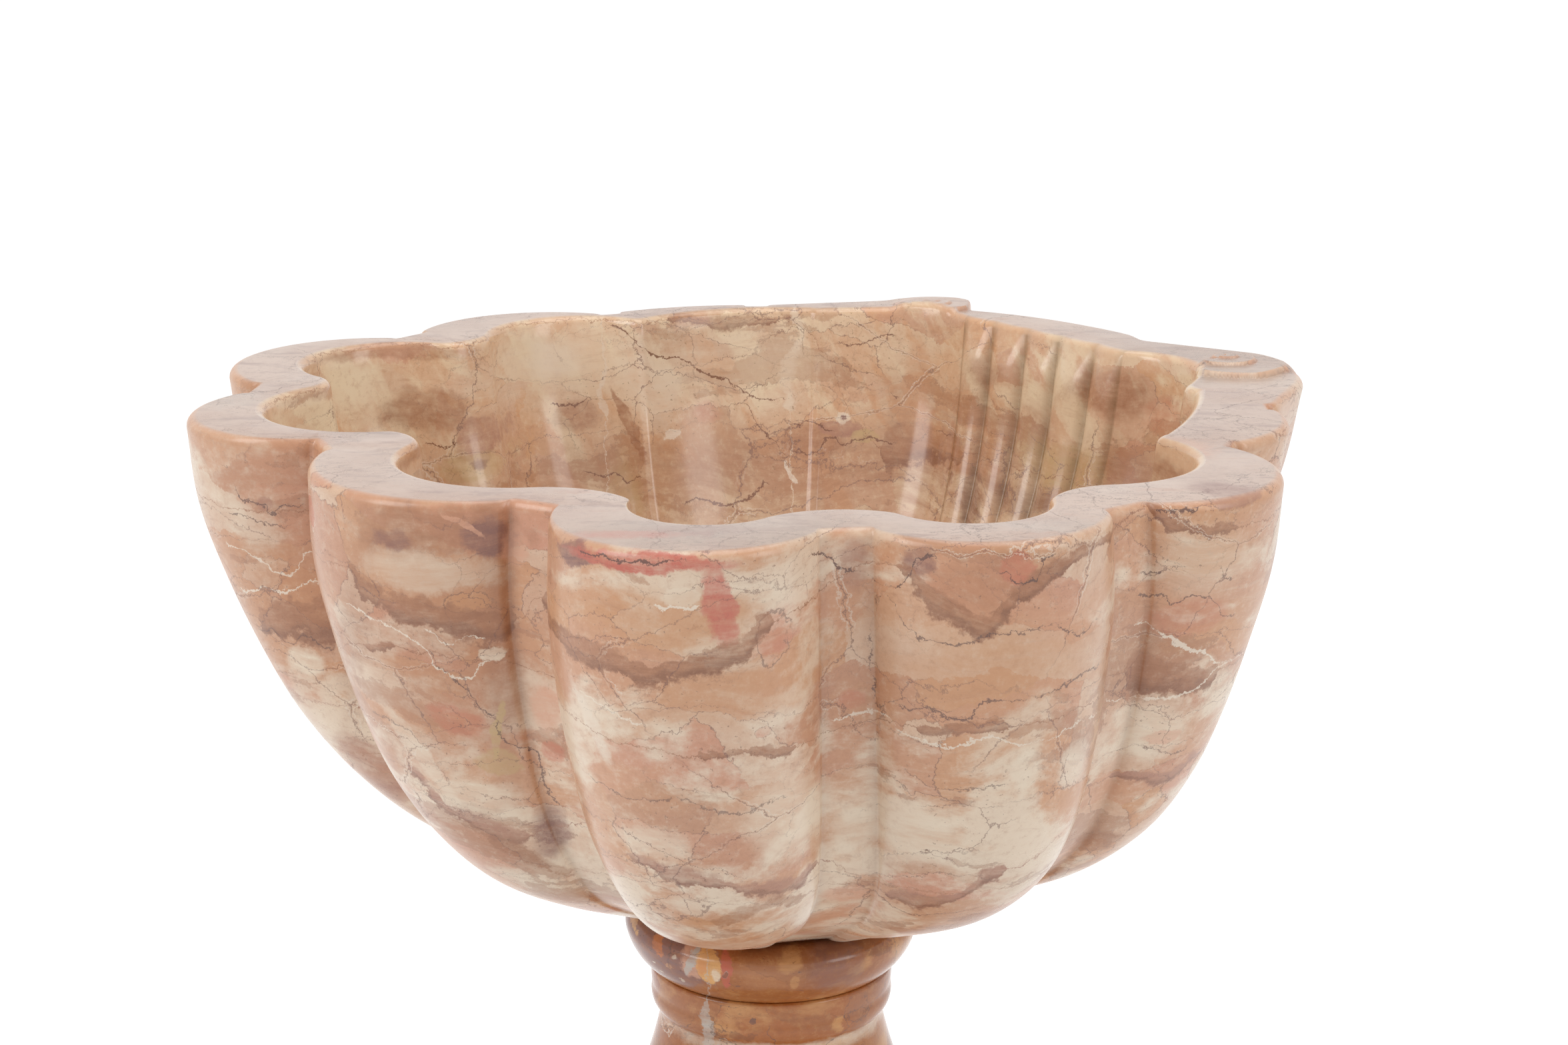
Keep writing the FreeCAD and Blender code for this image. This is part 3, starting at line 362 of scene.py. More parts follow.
OUTSIDE_BEDS = (
    # Brown bands, from the rim down to the foot
    Bed((((-228, 835, 6), (-220, 823, 8), (-203, 819, 8), (-183, 816, 8), (-164, 813, 8),
          (-147, 809, 7), (-138, 811, 4)),
         ((-118, 826, 4), (-101, 822, 6), (-84, 820, 6), (-65, 815, 6), (-48, 818, 5.5),
          (-31, 824, 6), (-14, 827, 6), (0, 841, 4)),
         ((68, 863, 4), (76, 857, 5.5), (84, 849, 6), (94, 844, 6), (104, 838, 6), (109, 834, 6),
          (119, 845, 6), (130, 853, 6), (141, 860, 5.5), (151, 866, 4.5), (166, 871, 3),
          (178, 871, 2)),
         ((204, 877, 3), (211, 871, 3.5), (219, 868, 3.5), (231, 864, 3.5), (249, 863, 3))),
        UMBER, foot=UMBER_DARK),
    Bed((((-303, 762, 9), (-280, 768, 14), (-256, 770, 12)),
         ((-221, 788, 2), (-214, 790, 4), (-207, 792, 3)),
         ((-34, 767, 2), (-18, 766, 2.8), (-3, 765, 3), (13, 762, 2.6)),
         ((80, 771, 3), (103, 774, 4.5), (121, 774, 4)),
         ((197, 777, 9), (219, 776, 12), (246, 771, 9))),
        UMBER, strength=0.8, foot=UMBER_DARK),
    Bed((((-202, 710, 3), (-190, 696, 5), (-178, 686, 5), (-161, 680, 5), (-137, 675, 4)),
         ((-72, 693, 3), (-54, 688, 5), (-33, 683, 5.5), (-8, 676, 5.5), (17, 675, 5),
          (24, 680, 3)),
         ((66, 654, 4), (90, 655, 5), (108, 665, 5), (125, 676, 4)),
         ((194, 707, 2), (211, 706, 3), (221, 702, 3), (234, 704, 3), (243, 711, 2))),
        MAUVE, foot=UMBER_DARK, soft=0.6),
    Bed((((-171, 678, 3), (-157, 671, 4), (-138, 662, 4.5), (-127, 656, 4), (-115, 647, 3)),
         ((-28, 652, 3), (0, 663, 5), (16, 660, 4)),
         ((176, 663, 3), (189, 662, 4), (201, 660, 3))),
        UMBER, strength=0.6, soft=0.6),
    # Dark jagged seams
    Bed((((-93, 875.5, 0.9), (-73, 875, 1.1), (-51, 875.5, 1.1), (-42, 875.5, 0.8)),
         ((23, 870, 0.9), (35, 860, 1.2), (49, 855, 1.2), (59, 849, 1.3), (70, 857, 1.5),
          (75, 866, 1.3), (84, 872, 1)),
         ((119, 865, 0.7), (125, 859, 1), (135, 859, 1), (139, 866, 1), (145, 874, 0.8)),
         ((206, 876, 1.6), (211, 876, 1.8), (220, 876, 1.8), (226, 876, 1.6))),
        INK, thin=0.5),
    Bed((((-317, 860, 0.8), (-312, 850, 1), (-306, 841, 1), (-291, 838, 1.1), (-287, 833, 1),
          (-281, 838, 1), (-270, 839, 0.8)),
         ((59, 846, 0.9), (66, 836, 1), (80, 825, 1), (95, 823, 1.1), (108, 826, 1.1),
          (114, 830, 1), (134, 830, 1), (147, 832, 1), (160, 823, 1), (169, 828, 0.8)),
         ((200, 839, 0.8), (211, 840, 1), (224, 842, 0.9), (242, 840, 0.9), (249, 831, 0.8))),
        INK, thin=0.5, strength=0.75),
    Bed((((-315, 831, 0.7), (-298, 828, 0.9), (-283, 826, 0.9), (-266, 829, 0.8)),
         ((-185, 790, 0.9), (-181, 782, 1), (-172, 776, 1), (-162, 766, 1), (-152, 754, 0.8)),
         ((63, 781, 0.9), (73, 781, 1), (83, 784, 1), (93, 780, 1), (103, 780, 1),
          (111, 789, 1.1), (134, 789, 1), (147, 791, 1), (160, 797, 1), (172, 799, 0.8)),
         ((199, 827, 0.8), (214, 825, 0.9), (217, 821, 0.9), (226, 825, 0.9), (238, 823, 0.8),
          (254, 806, 0.7))),
        INK, thin=0.5, strength=0.75),
    Bed((((-304, 753, 0.9), (-295, 756, 1), (-285, 749, 1), (-275, 756, 1), (-266, 751, 1),
          (-258, 748, 0.8)),
         ((-222, 744, 0.6), (-200, 738, 0.8), (-184, 729, 0.6)),
         ((-96, 741, 0.6), (-70, 735, 0.8), (-48, 738, 0.9), (-20, 729, 0.8), (8, 733, 0.6)),
         ((70, 741, 0.6), (96, 733, 0.8), (124, 738, 0.7)),
         ((208, 726, 0.6), (230, 719, 0.8), (244, 722, 0.6))),
        INK, thin=0.5, strength=0.6),
    Bed((((57, 843, 0.8), (54, 821, 1.1), (53, 804, 1), (54, 792, 1), (60, 768, 0.8)),
         ((-149, 748, 0.8), (-146, 738, 1), (-129, 728, 1), (-124, 706, 1), (-113, 687, 0.8))),
        INK, thin=0.5, strength=0.75, run=Run.UPRIGHT),
    # White threads of calcite
    Bed((((-320, 809, 0.9), (-304, 806, 1.2), (-295, 802, 1.3), (-283, 795, 1.3),
          (-276, 801, 1.2), (-266, 811, 1)),
         ((-231, 812, 0.9), (-218, 807, 1.3), (-204, 803, 1.2), (-188, 793, 1.3),
          (-168, 777, 1.2), (-153, 786, 1)),
         ((-96, 794, 0.9), (-87, 789, 1.1), (-79, 787, 1.1), (-66, 783, 0.8)),
         ((35, 770, 1.2), (46, 772, 1.7), (58, 774, 1.3), (66, 768, 0.9), (84, 764, 1),
          (97, 763, 1.1), (111, 768, 1), (135, 761, 1), (150, 762, 1.1), (163, 767, 1),
          (178, 764, 1.1), (210, 759, 1.3), (240, 765, 1.2), (252, 774, 1.1), (265, 774, 0.9))),
        SPAR, thin=0.45, strength=0.8),
    Bed((((-313, 779, 0.9), (-298, 783, 1.2), (-282, 784, 1.2), (-266, 792, 1)),
         ((-185, 804, 1), (-176, 797, 1.3), (-167, 798, 1.3), (-156, 802, 1)),
         ((-55, 851, 1.2), (-37, 852, 1.4)),
         ((199, 808, 0.9), (208, 804, 1.4), (218, 798, 2.2), (228, 792, 2.6), (238, 785, 2.2),
          (253, 775, 1))),
        SPAR, thin=0.5, strength=0.85),
)

OUTSIDE_PATCHES = (
    # The left lobes
    Patch((-285, 790), (34, 80), TAN, ragged=0.7, soft=0.6, strength=0.5),
    Patch((-178, 795), (48, 74), TAN, ragged=0.8, soft=0.6, strength=0.62),
    # Painted shade: darker upright strips along the lobe's edges beside the channels
    Patch((-236, 770), (10, 80), UMBER, ragged=0.5, soft=0.6, strength=0.5, turn=-10.0),
    Patch((-146, 790), (9, 80), UMBER, ragged=0.5, soft=0.6, strength=0.45),
    Patch((-180, 864), (48, 14), UMBER, ragged=1.3, soft=0.4, strength=0.6),
    Patch((-182, 839), (36, 11), IVORY, strength=0.5, ragged=0.9, soft=0.35),
    Patch((-152, 860), (13, 9), PLUM, ragged=1.3, soft=0.25),
    Patch((-202, 857), (9, 5), PLUM, ragged=1.2, soft=0.3, strength=0.6),
    Patch((-162, 867), (13, 1.6), SALMON, turn=-34.0, ragged=0.2),
    Patch((-162, 823), (13, 6.5), OCHRE, ring=INK, ragged=0.6, strength=0.7),
    Patch((-150, 791), (7, 5), IVORY),
    Patch((-172, 750), (18, 9), BRICK, turn=-18.0, ragged=0.8, soft=0.25, strength=0.5),
    Patch((-150, 742), (2.6, 19), OLIVE, turn=-8.0, ragged=0.5),
    Patch((-149, 723), (13, 9), OLIVE, ragged=0.8, strength=0.6),
    Patch((-164, 696), (26, 15), IVORY, soft=0.3, strength=0.65),
    Patch((-194, 722), (5, 38), IVORY, turn=34.0, ragged=0.7, soft=0.3, strength=0.6),
    Patch((-253, 857), (3.2, 8.5), BRICK, turn=8.0, ring=SPAR, ragged=0.3, strength=0.7),
    Patch((-291, 840), (6, 5), MAUVE),
    Patch((-277, 737), (12, 10), IVORY, soft=0.3),
    Patch((-238, 667), (14, 30), MAUVE, turn=34.0, ragged=0.8, soft=0.3),
    # The channel beside them
    Patch((-136, 855), (6, 12), SALMON, soft=0.3, strength=0.7),
    Patch((-122, 758), (9, 15), SALMON, soft=0.3, strength=0.7),
    Patch((-119, 730), (8, 7), BRICK, ragged=0.8, strength=0.6),
    Patch((-123, 676), (9, 17), PLUM, soft=0.5, strength=0.75),
    # The front lobe
    Patch((-58, 843), (46, 17), OCHRE, strength=0.6, ragged=0.8, soft=0.5),
    Patch((-20, 800), (44, 16), OCHRE, strength=0.45, ragged=0.9, soft=0.6),
    Patch((-98, 872), (11, 7), PLUM, ragged=0.9),
    Patch((-60, 874.5), (44, 4.6), ROSE, ragged=0.5, soft=0.2, strength=0.9),
    Patch((-26, 855), (7, 26), ROSE, turn=8.0, ragged=1.1, soft=0.2, strength=0.8),
    Patch((-44, 858), (9, 6), IVORY, strength=0.55),
    Patch((-93, 778), (3.4, 24), SPAR, turn=20.0, ragged=0.6, soft=0.35, strength=0.6),
    Patch((4, 831), (9, 14), BRICK, ring=INK, ragged=0.6, soft=0.3, strength=0.4),
    Patch((-3, 776), (4.5, 3), BRICK, ring=INK, ragged=0.6, soft=0.3, strength=0.45),
    Patch((10, 718), (20, 28), IVORY, soft=0.4, strength=0.6),
    Patch((-59, 708), (18, 11), IVORY, soft=0.35, strength=0.6),
    Patch((-41, 664), (14, 8), IVORY, soft=0.35, strength=0.6),
    # The channel beside it
    Patch((43, 860), (7, 15), MAUVE, strength=0.6, soft=0.3),
    Patch((44, 780), (8, 5.5), BRICK, ragged=0.9, strength=0.45, soft=0.3),
    Patch((47, 699), (14, 15), IVORY, strength=0.65, soft=0.3),
    Patch((42, 651), (14, 6), SALMON, strength=0.65, soft=0.3),
    # The right lobes
    Patch((77, 869), (10, 10), PLUM, ragged=1.2, soft=0.25, strength=0.7),
    Patch((106, 857), (26, 15), TAN, strength=0.6, soft=0.35),
    Patch((150, 838), (22, 20), SALMON, strength=0.35, soft=0.5),
    Patch((116, 802), (46, 34), OCHRE, strength=0.5, soft=0.6),
    Patch((232, 846), (26, 20), IVORY, strength=0.35, soft=0.5),
    Patch((127, 867), (9, 9), BRICK, ragged=0.5, strength=0.7),
    Patch((136, 745), (8, 12), IVORY, soft=0.3, strength=0.65),
    Patch((163, 739), (8, 14), IVORY, soft=0.3, strength=0.65),
    Patch((83, 697), (22, 23), IVORY, soft=0.4, strength=0.6),
    Patch((228, 811), (21, 12), BRICK, strength=0.4, ragged=1.1, soft=0.3),
    Patch((215, 741), (19, 22), IVORY, soft=0.35, strength=0.75),
    Patch((218, 732), (10, 5), SALMON, strength=0.6),
    Patch((250, 882), (20, 8), MAUVE, ragged=0.9, strength=0.8),
)

INSIDE_BEDS = (
    Bed((((-67, 878, 2), (-53, 873, 3), (-35, 872, 4), (-7, 872, 3.5), (11, 873, 3)),
         ((79, 786, 10), (103, 788, 15), (126, 792, 12))),
        UMBER, soft=0.6, strength=0.6, foot=UMBER_DARK),
    Bed((((-227, 814, 0.9), (-218, 811, 1), (-207, 814, 0.9)),
         ((-148, 823, 1), (-138, 821, 1.1), (-117, 825, 1)),
         ((-108, 875, 1.2), (-96, 867, 1.8), (-85, 858, 1.5), (-74, 853, 1.4), (-63, 849, 1.2),
          (-50, 841, 1.4), (-40, 835, 1.5), (-30, 831, 1.4), (-17, 821, 1.3), (-7, 818, 1.2),
          (6, 817, 1)),
         ((47, 857, 0.8), (59, 856, 1), (72, 859, 1), (84, 862, 0.8))),
        UMBER_DARK, thin=0.42),
    Bed((((-127, 777, 1), (-116, 773, 1.1), (-104, 775, 1.1), (-97, 770, 1.2), (-88, 775, 1)),
         ((-21, 815, 1), (-14, 808, 1.1), (-10, 800, 1.2), (-4, 795, 1.1), (3, 789, 1.1),
          (6, 782, 1)),
         ((13, 801, 1), (21, 801, 1.3), (27, 803, 1.3), (39, 798, 1)),
         ((62, 825, 0.8), (69, 828, 0.9), (79, 825, 0.9), (87, 819, 0.8)),
         ((98, 789, 1.2), (109, 797, 1.2), (124, 799, 1))),
        UMBER_DARK, thin=0.42),
    Bed((((-59, 755, 1.2), (-50, 755, 1.4), (-30, 752, 1.5), (-10, 758, 1.4), (-4, 764, 1)),
         ((9, 779, 1), (17, 783, 1.2), (27, 783, 1.2), (40, 793, 1.2), (47, 789, 1.1),
          (56, 792, 1), (74, 792, 1.1), (86, 787, 1))),
        UMBER_DARK, thin=0.42),
    Bed((((-117, 862, 1.2), (-115, 845, 1.5), (-117, 830, 1.4), (-113, 814, 1.1)),),
        SPAR, run=Run.UPRIGHT, strength=0.6),
    Bed((((16, 876, 3), (20, 866, 4), (16, 853, 4.5), (11, 834, 4), (13, 812, 3)),),
        IVORY, run=Run.UPRIGHT, strength=0.6, soft=0.9),
)

INSIDE_PATCHES = (
    Patch((-130, 848), (90, 24), IVORY, ragged=0.9, soft=0.6, strength=0.45),
    Patch((-20, 842), (60, 26), IVORY, ragged=1.0, soft=0.6, strength=0.35),
    Patch((20, 776), (150, 18), UMBER, ragged=1.0, soft=0.7, strength=0.4),
    Patch((150, 800), (60, 34), UMBER, ragged=1.2, soft=0.6, strength=0.45),
    Patch((226, 852), (26, 13), UMBER, ragged=0.9, soft=0.35, strength=0.65),
    Patch((252, 842), (12, 12), BRICK, ragged=0.9, soft=0.35, strength=0.4),
    Patch((190, 800), (24, 15), OLIVE, ragged=0.9, soft=0.4, strength=0.6),
    Patch((234, 806), (16, 13), UMBER, ragged=0.9, soft=0.4, strength=0.5),
    Patch((-227, 836), (26, 14), UMBER, ragged=1.0, soft=0.25, strength=0.6),
    Patch((-192, 815), (13, 16), MAUVE, ragged=0.8, turn=-30.0, strength=0.7),
    Patch((-197, 798), (25, 8), OLIVE, ragged=1.3, soft=0.4, strength=0.55),
    Patch((-194, 799), (4, 2.4), PLUM, ragged=0.9, soft=0.5, strength=0.6),
    Patch((-134, 814), (15, 10), UMBER, ragged=0.9, soft=0.3, strength=0.55),
    Patch((-98, 808), (3.5, 26), UMBER, turn=28.0, ragged=0.7, strength=0.75),
    Patch((-86, 838), (17, 36), IVORY, turn=24.0, ragged=0.7, soft=0.4, strength=0.6),
    Patch((-98, 765), (12, 20), OLIVE, ragged=0.9, soft=0.4, strength=0.5),
    Patch((-150, 850), (16, 13), IVORY, ragged=0.7, soft=0.3, strength=0.5),
    Patch((-45, 812), (10, 7), BRICK, ragged=0.7, soft=0.4, strength=0.3),
    Patch((26, 791), (20, 11), UMBER, ragged=0.6, strength=0.5),
    Patch((46, 799), (13, 5), MAUVE, ragged=0.6, strength=0.8),
    Patch((48, 806), (5, 4), IVORY, ragged=0.5),
    Patch((48, 806), (2, 1.6), PLUM, soft=0.4),
    Patch((-69, 800), (5, 3.4), SPAR, ragged=0.7, turn=20.0),
    Patch((12, 769), (1.8, 8), SPAR, turn=24.0, ragged=0.5),
    Patch((100, 833), (8, 27), OCHRE, ragged=0.6, soft=0.35, strength=0.5),
    Patch((64, 794), (10, 4), OLIVE, strength=0.7),
    Patch((133, 760), (5, 20), UMBER_DARK, turn=-10.0, ragged=0.9, soft=0.4, strength=0.7),
    Patch((172, 768), (20, 12), UMBER_DARK, ragged=1.3, soft=0.5, strength=0.5),
    Patch((142, 846), (12, 10), UMBER, ragged=1.2, soft=0.4, strength=0.5),
    Patch((-240, 874), (52, 4.5), UMBER, turn=-2.0, ragged=0.6, soft=0.3, strength=0.55),
)

PEDESTAL_BEDS = (
    Bed((((-38, 519, 1.2), (-39, 510, 1.8), (-37, 498, 1.9), (-38, 484, 1.4)),),
        SLATE, run=Run.UPRIGHT, strength=0.7, soft=0.4),
    Bed((((-4, 517, 0.8), (-1, 510, 1.1), (-3, 503, 1), (2, 496, 1), (0, 489, 0.8)),
         ((18, 548, 0.7), (17, 541, 1), (20, 533, 0.8), (23, 526, 0.7)),
         ((-25, 540, 0.7), (-23, 533, 0.9), (-17, 526, 0.7))),
        INK, run=Run.UPRIGHT, thin=0.5, strength=0.7),
    Bed((((-22, 490, 0.7), (-8, 487, 0.9), (4, 489, 0.9), (16, 486, 0.7)),),
        INK, thin=0.6, strength=0.7),
    Bed((((-32, 488, 0.8), (-28, 494, 0.8), (-24, 488, 0.8)),),
        SLATE, thin=0.8, strength=0.7),
)

PEDESTAL_PATCHES = (
    Patch((-66, 546), (28, 20), PLUM, ragged=0.5, soft=0.1, strength=0.92),
    Patch((-67, 552), (4, 8), FLAME, ragged=0.9, strength=0.85, turn=20.0),
    Patch((-84, 556), (3, 4), GOLD, ragged=0.7, strength=0.7),
    Patch((-61, 541), (2.6, 2), OCHRE, ragged=0.8, strength=0.8),
    Patch((-71, 540), (1.6, 1.2), IVORY, ragged=0.8, strength=0.8),
    Patch((-66, 535), (1.3, 1), IVORY, ragged=0.8, strength=0.7),
    Patch((-57, 549), (1.2, 1.6), IVORY, ragged=0.8, strength=0.7),
    Patch((-54, 533), (1.8, 1), IVORY, ragged=0.8, strength=0.7),
    Patch((-46, 549), (8, 12), SALMON, ragged=0.5, strength=0.8, turn=-12.0),
    Patch((-47, 548), (2.8, 11), SLATE, ragged=0.6, strength=0.9, turn=-24.0),
    Patch((-37, 548), (7.5, 11), GOLD, ragged=0.35, soft=0.1, strength=0.9, ring=PLUM),
    Patch((-41, 547), (3, 6), FLAME, ragged=1.0, soft=0.4, strength=0.5),
    Patch((-33, 544), (2.6, 5), IVORY, ragged=0.8, soft=0.3, strength=0.7),
    Patch((-27, 547), (3, 13), BLOOD, ragged=0.5, strength=0.9),
    Patch((-27.5, 546), (1.5, 3), UMBER_DARK, ragged=0.4, strength=0.8, ring=SLATE),
    Patch((13, 554), (8, 6), GOLD, ragged=1.0, soft=0.3, strength=0.6),
    Patch((15, 541), (2.5, 4), GOLD, ragged=1.0, soft=0.3, strength=0.5),
    Patch((38, 546), (17, 16), PLUM, ragged=0.8, strength=0.6, soft=0.3),
    Patch((4, 548), (22, 12), OCHRE, ragged=0.8, soft=0.5, strength=0.35),
    Patch((54, 511), (8, 9), UMBER, ragged=1.0, strength=0.5, soft=0.4, ring=INK),
    Patch((41, 503), (4, 6), GOLD, ragged=1.0, soft=0.3, strength=0.6),
    Patch((-11, 508), (2, 1.9), UMBER_DARK, ragged=0.7, strength=0.95),
    Patch((-19, 537), (1.5, 1.2), UMBER_DARK, ragged=0.7, strength=0.6),
    Patch((26, 488), (16, 2.6), GOLD, ragged=1.0, soft=0.4, strength=0.6),
    Patch((10, 488), (66, 5), IVORY, ragged=0.9, soft=0.5, strength=0.62),
)

# On the rim's flat top, across and into the picture
RIM_PATCHES = (
    Patch((-20, -300), (90, 30), DUSK, ragged=0.9, soft=0.6, strength=0.4),
    Patch((270, 120), (70, 60), DUSK, ragged=0.9, soft=0.6, strength=0.35),
    Patch((244, -213), (20, 15), PLUM, turn=-60.0, ragged=1.2, soft=0.35, strength=0.55),
    Patch((235, -120), (14, 24), SALMON, ragged=1.2, soft=0.5, strength=0.4),
    Patch((150, -285), (30, 12), SLATE, ragged=1.2, soft=0.5, strength=0.4),
    Patch((-30, -296), (30, 9), PLUM, ragged=1.4, soft=0.5, strength=0.35),
    Patch((-178, -80), (22, 16), SALMON, ragged=1.2, soft=0.5, strength=0.35),
    Patch((-75, -305), (22, 7), ROSE, ragged=1.2, soft=0.5, strength=0.4),
    Patch((-325, 10), (16, 26), SLATE, ragged=1.2, soft=0.5, strength=0.35),
    Patch((120, 262), (30, 12), SLATE, ragged=1.3, soft=0.5, strength=0.45),
)


@dataclass(frozen=True)
class Marble:
    """A polished, nodular marble with seams, calcite threads, fossils and placed marks.

    Heights and lengths are in metres, but the tail, by which a bed's ends are drawn out, is in
    millimetres. Wander and jag are how far the marks' edges stray in broad and in fine waves. The
    stone gets paler by pale_more from the first height of pale_below down to the second, and it
    gets darker along its fibres from the first of its darkening heights down to the second.
    """

    name: str
    palette: Palette
    beds: tuple[Bed, ...]
    patches: tuple[Patch, ...]
    # The rim top's colours, a painted pale reflection, and its patches
    rim: Palette | None = None
    rim_patches: tuple[Patch, ...] = ()
    darker_below: Point | None = None
    drips: bool = False
    wander: float = 0.012
    jag: float = 0.008
    tail: float = 3.0
    roughness: float = 0.28
    pale_below: Point = (0.82, 0.68)
    pale_more: float = 0.0

    @staticmethod
    def patterns(graph: Graph, place: Value) -> dict[str, Value]:
        """The block's own nodules, clouds, bands, seams and specks.

        Args:
            graph: The material's node tree.
            place: The place on the object.

        Returns:
            The patterns by name.
        """
        broad = graph.noise(place, 8.0, 2.0, output="Color")
        fine = graph.noise(place, 75.0, 5.0, 0.7, "Color")
        drift = graph.warped(place, broad, 0.06)
        jagged = graph.warped(drift, fine, 0.015)
        nodules = graph.scaled(jagged, (1.0, 1.0, 2.0))
        cell = graph.cells(nodules, 17.0, "Color")
        edge = graph.cells(nodules, 17.0)
        split = graph.cells(graph.scaled(jagged, (1.0, 1.0, 2.3), (3.0, 1.0, 5.0)), 7.5)
        net = graph.cells(graph.scaled(jagged, (1.0, 1.0, 1.5), (2.0, 7.0, 4.0)), 46.0)
        shells = graph.node("TexVoronoi", {}, {
            "Vector": graph.scaled(jagged, (1.0, 1.0, 1.6)), "Scale": 200.0})
        here = graph.noise(place, 14.0)
        there = graph.noise(graph.scaled(place, shift=(6.0, 6.0, 6.0)), 9.0)
        hairs = graph.step(net, 0.012, 0.003) * graph.step(there, 0.44, 0.62) * 0.45
        seams = graph.maths(
            "MAXIMUM", graph.step(edge, 0.009, 0.002) * graph.step(here, 0.47, 0.60),
            graph.step(split, 0.0045, 0.001) * graph.step(there, 0.40, 0.52))
        return {
            "fine": fine,
            "tint": graph.node("SeparateColor", {}, {0: cell}),
            "clouds": graph.noise(graph.scaled(jagged, (1.0, 1.0, 1.8), (3.0, 1.0, 2.0)), 13.0,
                                  6.0, 0.6),
            "pale": graph.noise(graph.scaled(drift, (1.0, 1.0, 1.7), (7.0, 5.0, 1.0)), 10.0, 7.0,
                                0.62),
            "bands": graph.noise(graph.scaled(jagged, (1.0, 1.0, 3.0)), 6.0, 5.0, 0.6),
            "fibres": graph.noise(graph.scaled(drift, (1.0, 1.0, 6.0)), 26.0, 6.0, 0.7),
            "mottle": graph.noise(place, 170.0, 5.0, 0.75),
            "here": here,
            "seams": graph.maths("MAXIMUM", seams, hairs),
            "calcite": graph.step(abs(split - 0.014), 0.0045, 0.001) * graph.step(there, 0.54,
                                                                                  0.62),
            "specks": graph.step(shells, 0.16, 0.09) * graph.step(here, 0.46, 0.58)}

    @staticmethod
    def mottled(graph: Graph, pattern: dict[str, Value], palette: Palette,
                colour: Value) -> Value:
        """The colour with the stone's fine dark and pale grains.

        Args:
            graph: The material's node tree.
            pattern: The block's own patterns.
            palette: The face's colours.
            colour: The colour under it.

        Returns:
            The colour with it.
        """
        colour = graph.mix(graph.step(pattern["mottle"], 0.50, 0.70, 0.0, 0.30), colour,
                           palette.band)
        return graph.mix(graph.step(pattern["mottle"], 0.50, 0.30, 0.0, 0.30), colour,
                         palette.cream)

    def stone(self, graph: Graph, pattern: dict[str, Value], spots: dict[str, Value]) -> Value:
        """The block's own colour, without the placed marks.

        Args:
            graph: The material's node tree.
            pattern: The block's own patterns.
            spots: Where a place is, and its unevenness.

        Returns:
            The colour.
        """
        palette = self.palette
        ground = palette.ground
        colour = graph.node("ValToRGB", {"stops": (
            (0.0, ground), (0.24, between(ground, palette.cream, 0.5)), (0.34, ground),
            (0.5, palette.warm), (0.62, ground), (0.74, between(ground, palette.rose, 0.6)),
            (0.84, between(ground, palette.band, 0.4)), (0.93, palette.rose), (1.0, ground))},
            {0: pattern["tint"]})
        # Clouds of warm and of pale stone over the nodules
        colour = graph.mix(graph.step(pattern["clouds"], 0.42, 0.62) * 0.45, colour, palette.warm)
        pale = pattern["pale"] + graph.step(spots["height"], *self.pale_below) * self.pale_more
        colour = graph.mix(graph.step(pale, 0.52, 0.63) * 0.8, colour, palette.cream)
        if self.drips:
            # Runs of paler and warmer stone, narrow across the wall and long down it
            aside, along = (graph.share(spots["plane"], axis)
                            for axis in ((0.86, 0.50, 0.0), (0.10, -0.17, 0.0)))
            runs = graph.noise(graph.node("CombineXYZ", {}, {0: aside, 1: along, 2: 0.3}), 44.0,
                               5.0, 0.6)
            colour = graph.mix(graph.step(runs, 0.50, 0.64, 0.0, 0.75), colour, palette.cream)
            colour = graph.mix(graph.step(runs, 0.45, 0.34, 0.0, 0.75), colour, palette.warm)
        # Soft bands, each with a darker foot
        banded = graph.step(pattern["bands"], 0.56, 0.59) * (pattern["fibres"] * 0.9 + 0.1)
        colour = graph.mix(banded, colour, palette.band)
        foot = graph.step(abs(pattern["bands"] - 0.575), 0.004, 0.001)
        colour = graph.mix(foot * 0.3, colour, palette.seam)
        # Fine pale and dark fibres along the bedding
        colour = graph.mix(graph.step(pattern["fibres"], 0.52, 0.78) * 0.35, colour, palette.cream)
        colour = graph.mix(graph.step(pattern["fibres"], 0.46, 0.25) * 0.35, colour, palette.band)
        # Darker towards the bottom of the hollow, broken up along the fibres
        if self.darker_below:
            low = graph.step(spots["height"], *self.darker_below) * (pattern["fibres"] * 2.4 - 0.5)
            colour = graph.mix(low * 0.75, colour, palette.band)
        return self.mottled(graph, pattern, palette, colour)

    def laid(self, graph: Graph, spots: dict[str, Value], bed: Bed, colour: Value) -> Value:
        """The colour with one bed laid over it, each run of it drawn out to a point.

        Args:
            graph: The material's node tree.
            spots: Where a place is, and its unevenness.
            bed: The bed.
            colour: The colour under it.

        Returns:
            The colour with it.
        """
        along, aside = ((spots["across"], spots["height"]) if bed.run is Run.ACROSS
                        else (spots["height"], spots["across"]))
        bends = []
        for run in bed.runs:
            ordered = sorted((bend[bed.run.value], bend[1 - bed.run.value], bend[2])
                             for bend in run)
            first, last = ordered[0], ordered[-1]
            bends += [(first[0] - self.tail, first[1], 0.0), *ordered,
                      (last[0] + self.tail, last[1], 0.0)]
        bends.sort()
        low, high = bends[0][0], bends[-1][0]
        floor = min(bend[1] for bend in bends)
        rise = max(bend[1] for bend in bends) - floor + 0.001
        widest = max(bend[2] for bend in bends)
        share = graph.node("MapRange", {}, {0: along, 1: low * MM, 2: high * MM})
        line = graph.node("FloatCurve", {"points": [
            ((bend[0] - low) / (high - low), (bend[1] - floor) / rise) for bend in bends]},
            {"Value": share})
        width = graph.node("FloatCurve", {"handle": "VECTOR", "points": [
            ((bend[0] - low) / (high - low), bend[2] / widest) for bend in bends]},
            {"Value": share})
        signed = aside + spots["crinkle"] - (line * (rise * MM) + floor * MM)
        if bed.thin:
            width = width * (widest * MM * bed.thin) * spots["breaks"]
            mask = graph.step(width - abs(signed), -0.0001, 0.0003, 0.0, bed.strength)
            return graph.mix(mask, colour, bed.colour)
        width = width * (widest * MM) * spots["swell"]
